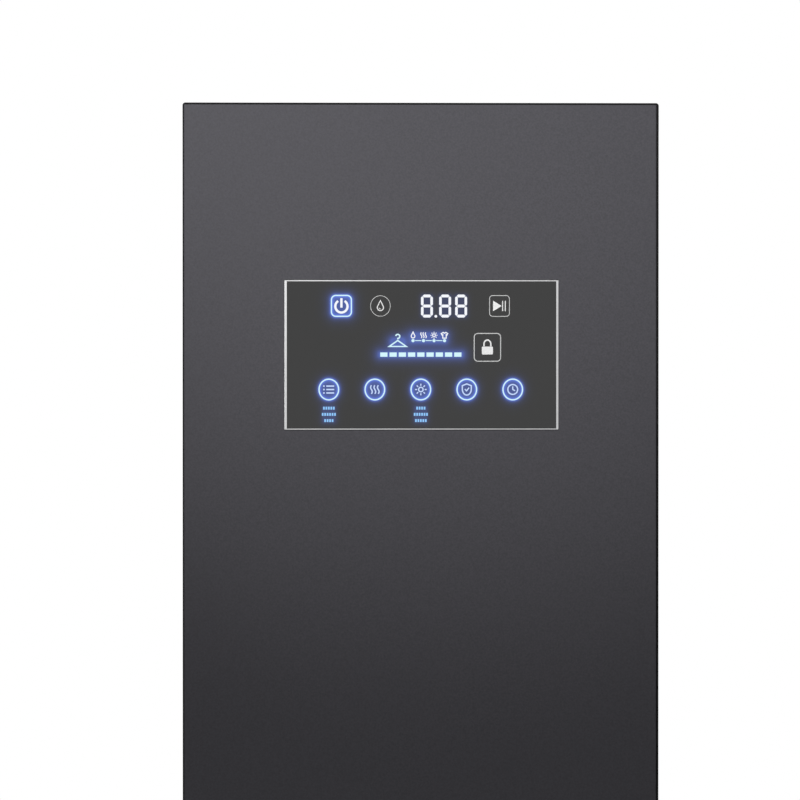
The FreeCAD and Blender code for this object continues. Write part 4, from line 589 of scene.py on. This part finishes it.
# Lock sign
lock = signs["lock"]
legs = [(side * lock["shackle"][0], lock["foot"]) for side in (-1, 1)]
shackle = legs[:1] + arc((0.0, lock["shackleLevel"]), lock["shackle"], 180, 0, 18) + legs[1:]
lockBody = roundedBox((0.0, lock["bodyLevel"]), lock["body"], lock["bodyCorner"], 4)
signMesh("lock_frame", "grey", [keyFrame(lock)])
signMesh("lock_sign", "pale", [(moved(shackle, lock["at"]), lock["stroke"], False)],
         [moved(lockBody, lock["at"])])

# Signs inside the key rings
keySigns = signs["keys"]
keys = [(ring["first"] + ring["pitch"] * i, ring["level"]) for i in range(ring["count"])]
listAt, steamAt, dryAt, guardAt, clockAt = keys
halfShield = keySigns["shield"][0]
shield = ([(0.0, keySigns["tip"]), (-halfShield, keySigns["shoulder"])]
          + arc((0.0, keySigns["shieldLevel"]), keySigns["shield"], 180, 360, 20)
          + [(halfShield, keySigns["shoulder"])])
signMesh("key_signs", "soft",
         [(moved([(x, z) for x in keySigns["row"]], listAt), keySigns["rowStroke"], False)
          for z in keySigns["rows"]]
         + waveStrokes(steamAt, keySigns["wave"], keySigns["stroke"])
         + sunStrokes(dryAt, keySigns["sun"], keySigns["rays"], keySigns["stroke"], keySigns["fine"], 24)
         + [(moved(shield, guardAt), keySigns["stroke"], True),
            (moved(keySigns["tick"], guardAt), keySigns["fine"], False),
            (ellipse(clockAt, keySigns["clock"], 32), keySigns["stroke"], True),
            (moved(keySigns["hands"], clockAt), keySigns["fine"], False)],
         [moved(box((keySigns["dotAcross"], z), keySigns["dot"]), listAt) for z in keySigns["rows"]])
print("panel signs drawn")


# Geometry Nodes

def growTree(name, inputs, build, finish):
    tree = bpy.data.node_groups.new(name, "GeometryNodeTree")
    tree.interface.new_socket("Geometry", in_out="INPUT", socket_type="NodeSocketGeometry")
    for label, value in inputs.items():
        kind = "NodeSocketVector" if isinstance(value, tuple) else "NodeSocketFloat"
        tree.interface.new_socket(label, in_out="INPUT", socket_type=kind)
    tree.interface.new_socket("Geometry", in_out="OUTPUT", socket_type="NodeSocketGeometry")
    start = Wire(tree)
    entry = start.node("NodeGroupInput").socket.node
    grown = build(start, {socket.name: Wire(tree, socket) for socket in entry.outputs if socket.name})
    grown = start.node("GeometryNodeRealizeInstances", None, {"Geometry": grown})
    grown = start.node("GeometryNodeSetMaterial", None, {"Geometry": grown, "Material": finish})
    start.node("NodeGroupOutput", None, {"Geometry": grown})
    return tree


def grow(name, points, inputs, build, finish, body):
    carrier = bpy.data.objects.new(name + "_points", bpy.data.meshes.new(name + "_points"))
    carrier.data.from_pydata(points, [], [])
    scene.collection.objects.link(carrier)
    tree = growTree(name, inputs, build, finish)
    modifier = carrier.modifiers.new(name, "NODES")
    modifier.node_group = tree
    for socket in tree.interface.items_tree:
        if socket.in_out == "INPUT" and socket.name in inputs:
            modifier[socket.identifier] = inputs[socket.name]
    grownMesh = bpy.data.meshes.new_from_object(carrier.evaluated_get(bpy.context.evaluated_depsgraph_get()))
    carrier.modifiers.clear()
    bpy.data.objects.remove(carrier)
    piece = bpy.data.objects.new(name, grownMesh)
    scene.collection.objects.link(piece)
    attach(piece, body)
    return piece


def onPoints(start, sockets, instance):
    return start.node("GeometryNodeInstanceOnPoints", None,
                      {"Points": sockets["Geometry"], "Instance": instance})


def shifted(start, shape, sockets):
    return start.node("GeometryNodeTransform", None, {"Geometry": shape, **sockets})


quarterTurn = math.pi / 2


def ringBuild(start, sockets):
    circle = start.node("GeometryNodeCurvePrimitiveCircle", {"mode": "RADIUS"},
                        {"Resolution": ring["sides"], "Radius": 1.0})
    upright = shifted(start, circle, {"Rotation": (quarterTurn, 0.0, 0.0)})
    shaped = shifted(start, upright, {"Scale": sockets["Half size"]})
    band = start.node("GeometryNodeCurvePrimitiveQuadrilateral", {"mode": "RECTANGLE"},
                      {"Width": sockets["Line width"], "Height": sockets["Line depth"]})
    solid = start.node("GeometryNodeCurveToMesh", None, {"Curve": shaped, "Profile Curve": band})
    return onPoints(start, sockets, solid)


def blockBuild(start, sockets):
    block = start.node("GeometryNodeMeshCube", None, {"Size": sockets["Block size"]})
    return onPoints(start, sockets, block)


grow("key_rings", [onGlass(key, plateLevel) for key in keys],
     {"Half size": (ring["across"] * mm, 1.0, ring["high"] * mm), "Line width": ring["line"] * mm,
      "Line depth": plateDepth}, ringBuild, signFinish["lit"], "door")
levelPoints = [onGlass((keys[column][0] + (i - (count - 1) / 2) * levels["pitch"], row), plateLevel)
               for column, counts in zip(levels["columns"], levels["blocks"])
               for row, count in zip(levels["rows"], counts) for i in range(count)]
grow("level_blocks", levelPoints,
     {"Block size": (levels["size"][0] * mm, plateDepth, levels["size"][1] * mm)},
     blockBuild, signFinish["blue"], "door")
progressStep = (progress["to"] - progress["from"]) / progress["count"]
progressPoints = [onGlass((progress["from"] + progressStep * (i + 0.5), progress["level"]), plateLevel)
                  for i in range(progress["count"])]
grow("progress_blocks", progressPoints,
     {"Block size": (progressStep * progress["filled"] * mm, plateDepth, progress["high"] * mm)},
     blockBuild, signFinish["lit"], "door")
print("rings and blocks grown")


# Screws, one piece for each way that they face, in metres
screws = {"radius": 0.0034, "height": 0.0015, "segments": 20, "rings": 10, "slot": (0.0044, 0.0011, 0.0016),
          "edge": 0.010, "rows": 9, "columns": (-0.115, 0.0, 0.115), "sheet": 0.001, "seam": 0.320,
          "coverEdge": (0.014, 0.030), "bracket": (0.010, 0.026), "plate": 0.003,
          "flange": 0.004, "flangeReach": 0.0213}
facing = {"back": (-quarterTurn, 0.0, 0.0), "front": (quarterTurn, 0.0, 0.0),
          "right": (0.0, quarterTurn, 0.0), "left": (0.0, -quarterTurn, 0.0)}


def screwBuild(start, sockets):  # a domed head with a cross slot
    size = start.node("ShaderNodeCombineXYZ", None,
                      {0: sockets["Head radius"], 1: sockets["Head radius"], 2: sockets["Head height"]})
    top = start.node("ShaderNodeCombineXYZ", None, {2: sockets["Head height"]})
    head = start.node("GeometryNodeMeshUVSphere", None,
                      {"Segments": screws["segments"], "Rings": screws["rings"], "Radius": 1.0})
    head = shifted(start, head, {"Scale": size})
    for turn in (0.0, quarterTurn):
        bar = start.node("GeometryNodeMeshCube", None, {"Size": sockets["Slot size"]})
        bar = shifted(start, bar, {"Translation": top, "Rotation": (0.0, 0.0, turn)})
        head = start.node("GeometryNodeMeshBoolean", {"operation": "DIFFERENCE"},
                          {"Mesh 1": head, "Mesh 2": bar})
    return onPoints(start, sockets, shifted(start, head, {"Rotation": sockets["Facing"]}))


def spread(low, high, count):
    return [low + (high - low) * i / (count - 1) for i in range(count)]


def driveScrews(name, points, side):
    grow(name, points, {"Head radius": screws["radius"], "Head height": screws["height"],
                        "Slot size": screws["slot"], "Facing": facing[side]},
         screwBuild, slotFinish["hinge_steel"], "cabinet")


panelLow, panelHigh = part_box("back_panel")
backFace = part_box("left_side_panel")[1].y + screws["sheet"]
backEdge = panelHigh.x - screws["edge"]
backRows = spread(panelLow.z + 2 * screws["edge"], panelHigh.z - 2 * screws["edge"], screws["rows"])
backPlaces = [(side * backEdge, z) for side in (-1, 1) for z in backRows]
backPlaces += [(x, z) for x in screws["columns"]
               for z in (panelLow.z + screws["edge"], screws["seam"], panelHigh.z - screws["edge"])]
driveScrews("back_screws", [(x, backFace, z) for x, z in backPlaces], "back")
coverLow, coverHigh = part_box("lower_front_cover")
coverX = coverHigh.x - screws["coverEdge"][0]
coverRows = (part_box("door_skin")[0].z + screws["coverEdge"][1],
             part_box("door_gasket")[0].z - screws["coverEdge"][0])
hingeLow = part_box("bottom_hinge_bracket")[0]
frontPlaces = [(side * coverX, coverLow.y, z) for side in (-1, 1) for z in coverRows]
frontPlaces += [(hingeLow.x + x, coverLow.y - screws["plate"], hingeLow.z + screws["edge"])
                for x in screws["bracket"]]
driveScrews("front_screws", frontPlaces, "front")
railLow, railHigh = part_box("hanging_rail")
railY, railZ = (railLow.y + railHigh.y) / 2, (railLow.z + railHigh.z) / 2
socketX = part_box("rail_sockets")[1].x - screws["flange"]
socketRows = (railZ - screws["flangeReach"], railZ + screws["flangeReach"])
for side, x in (("right", -socketX), ("left", socketX)):
    driveScrews(f"socket_screws_{side}", [(x, railY, z) for z in socketRows], side)

# Fine net over the bars of the lint filter, in metres
net = {"rim": 0.010, "level": 0.0043, "pitch": 0.004, "wire": 0.0006, "weave": 0.8}
netLow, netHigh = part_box("lint_filter")
netHalf = ((netHigh.x - netLow.x) / 2 - net["rim"], (netHigh.y - netLow.y) / 2 - net["rim"])
netMiddle = ((netHigh.x + netLow.x) / 2, (netHigh.y + netLow.y) / 2, netLow.z + net["level"])
netFinish = newFinish("lint_net", moulded((0.44, 0.45, 0.46), 0.5, spread=0.03))
for name, along in (("lint_net_long", 0), ("lint_net_short", 1)):
    across = 1 - along
    reach = netHalf[across] - net["pitch"] / 2
    points = []
    for offset in spread(-reach, reach, int(2 * netHalf[across] / net["pitch"])):
        point = list(netMiddle)
        point[across] += offset
        point[2] += along * net["wire"] * net["weave"]
        points.append(point)
    size = [net["wire"]] * 3
    size[along] = 2 * netHalf[along]
    grow(name, points, {"Block size": tuple(size)}, blockBuild, netFinish, "lint_filter_body")
print("screws and net grown")

# Floor, world, lamps and camera
stageSettings = {"half": 5.0, "level": -0.0005, "floorColour": (0.88, 0.88, 0.88), "fill": 0.13,
                 "lift": 0.55, "fadeFrom": 0.7, "fadeTo": 3.2}
whiteLight = (1.0, 1.0, 1.0, 1.0)


def seenRays(start):  # rays that show the background: straight, mirrored or through glass
    return (start.node("ShaderNodeLightPath", None, None, "Is Camera Ray")
            + start.node("ShaderNodeLightPath", None, None, "Is Glossy Ray")
            + start.node("ShaderNodeLightPath", None, None, "Is Transmission Ray")).held()


def paleFloor(start):  # shadows near the object, white far from it
    cloud = noiseOn(start, scale=1.5, detail=2.0)
    matte = start.node("ShaderNodeBsdfPrincipled", None,
                       {"Base Color": flecked(cloud, stageSettings["floorColour"], spread=0.01),
                        "Roughness": 0.8, "Specular IOR Level": 0.1}, "BSDF")
    white = start.node("ShaderNodeEmission", None, {"Color": whiteLight, "Strength": 1.0})
    away = start.placeAlong("X").length(start.placeAlong("Y"))
    near, far, lift = stageSettings["fadeFrom"], stageSettings["fadeTo"], stageSettings["lift"]
    fade = ((away - near) / (far - near)).held()
    fade = fade * fade * (3.0 - 2.0 * fade)
    return start.node("ShaderNodeMixShader", None,
                      {0: seenRays(start) * (lift + (1.0 - lift) * fade), 1: matte, 2: white})


span, ground = stageSettings["half"], stageSettings["level"]
floorMesh = bpy.data.meshes.new("floor")
floorMesh.from_pydata([(x, y, ground) for x, y in box((0.0, 0.0), (2 * span, 2 * span))], [], [range(4)])
floorMesh.materials.append(newMaterial("pale_floor", paleFloor))
floor = bpy.data.objects.new("floor", floorMesh)
scene.collection.objects.link(floor)

world = bpy.data.worlds.new("studio")
scene.world = world
world.use_nodes = True
world.node_tree.nodes.clear()
sky = Wire(world.node_tree)
fill = stageSettings["fill"]
backdrop = sky.node("ShaderNodeBackground", None,
                    {"Color": whiteLight, "Strength": fill + seenRays(sky) * (1.0 - fill)})
sky.node("ShaderNodeOutputWorld", None, {"Surface": backdrop})

lamps = {
    "key": {"kind": "SPOT", "at": (-0.75, -3.4, 2.75), "aim": (-0.039, -0.29, 2.055), "power": 421.0,
            "cone": 27.0, "blend": 1.0, "soft": 0.08},
    "wash": {"kind": "AREA", "at": (-1.9, -3.4, 0.35), "aim": (0.0, -0.3, 1.2), "power": 13.8,
             "size": (2.0, 1.0)},
    "left": {"kind": "AREA", "at": (-3.0, 0.5, 1.7), "aim": (0.0, 0.1, 0.9), "power": 58.0,
             "size": (2.4, 2.4)},
    "right": {"kind": "AREA", "at": (2.8, 1.3, 1.7), "aim": (0.0, 0.1, 0.9), "power": 54.0,
              "size": (2.4, 2.4)},
    "back": {"kind": "AREA", "at": (0.5, 3.3, 1.6), "aim": (0.0, 0.2, 0.9), "power": 44.0,
             "size": (3.2, 3.0)},
    "top": {"kind": "AREA", "at": (0.0, 0.5, 4.2), "aim": (0.0, 0.35, 1.8), "power": 60.0,
            "size": (2.6, 2.0)},
}
for name, lamp in lamps.items():
    light = bpy.data.lights.new(name + "_lamp", lamp["kind"])
    light.energy = lamp["power"]
    if lamp["kind"] == "SPOT":
        light.spot_size = math.radians(lamp["cone"])
        light.spot_blend = lamp["blend"]
        light.shadow_soft_size = lamp["soft"]
    else:
        light.shape = "RECTANGLE"
        light.size, light.size_y = lamp["size"]
    holder = bpy.data.objects.new(name + "_lamp", light)
    holder.location = lamp["at"]
    holder.rotation_euler = (Vector(lamp["aim"]) - Vector(lamp["at"])).to_track_quat("-Z", "Y").to_euler()
    scene.collection.objects.link(holder)

cameraSettings = {"aim": (-0.0196, -0.2925, 1.5725), "distance": 5.0, "yaw": 1.93, "pitch": 0.58,
                  "lens": 240.87, "sensor": 36.0}
yaw, pitch = math.radians(cameraSettings["yaw"]), math.radians(cameraSettings["pitch"])
back = Vector((-math.sin(yaw) * math.cos(pitch), -math.cos(yaw) * math.cos(pitch), math.sin(pitch)))
camera = bpy.data.objects.new("camera", bpy.data.cameras.new("camera"))
camera.data.sensor_width = cameraSettings["sensor"]
camera.data.lens = cameraSettings["lens"]
camera.location = Vector(cameraSettings["aim"]) + back * cameraSettings["distance"]
camera.rotation_euler = (-back).to_track_quat("-Z", "Y").to_euler()
scene.collection.objects.link(camera)
scene.camera = camera
print("stage, lamps and camera set")
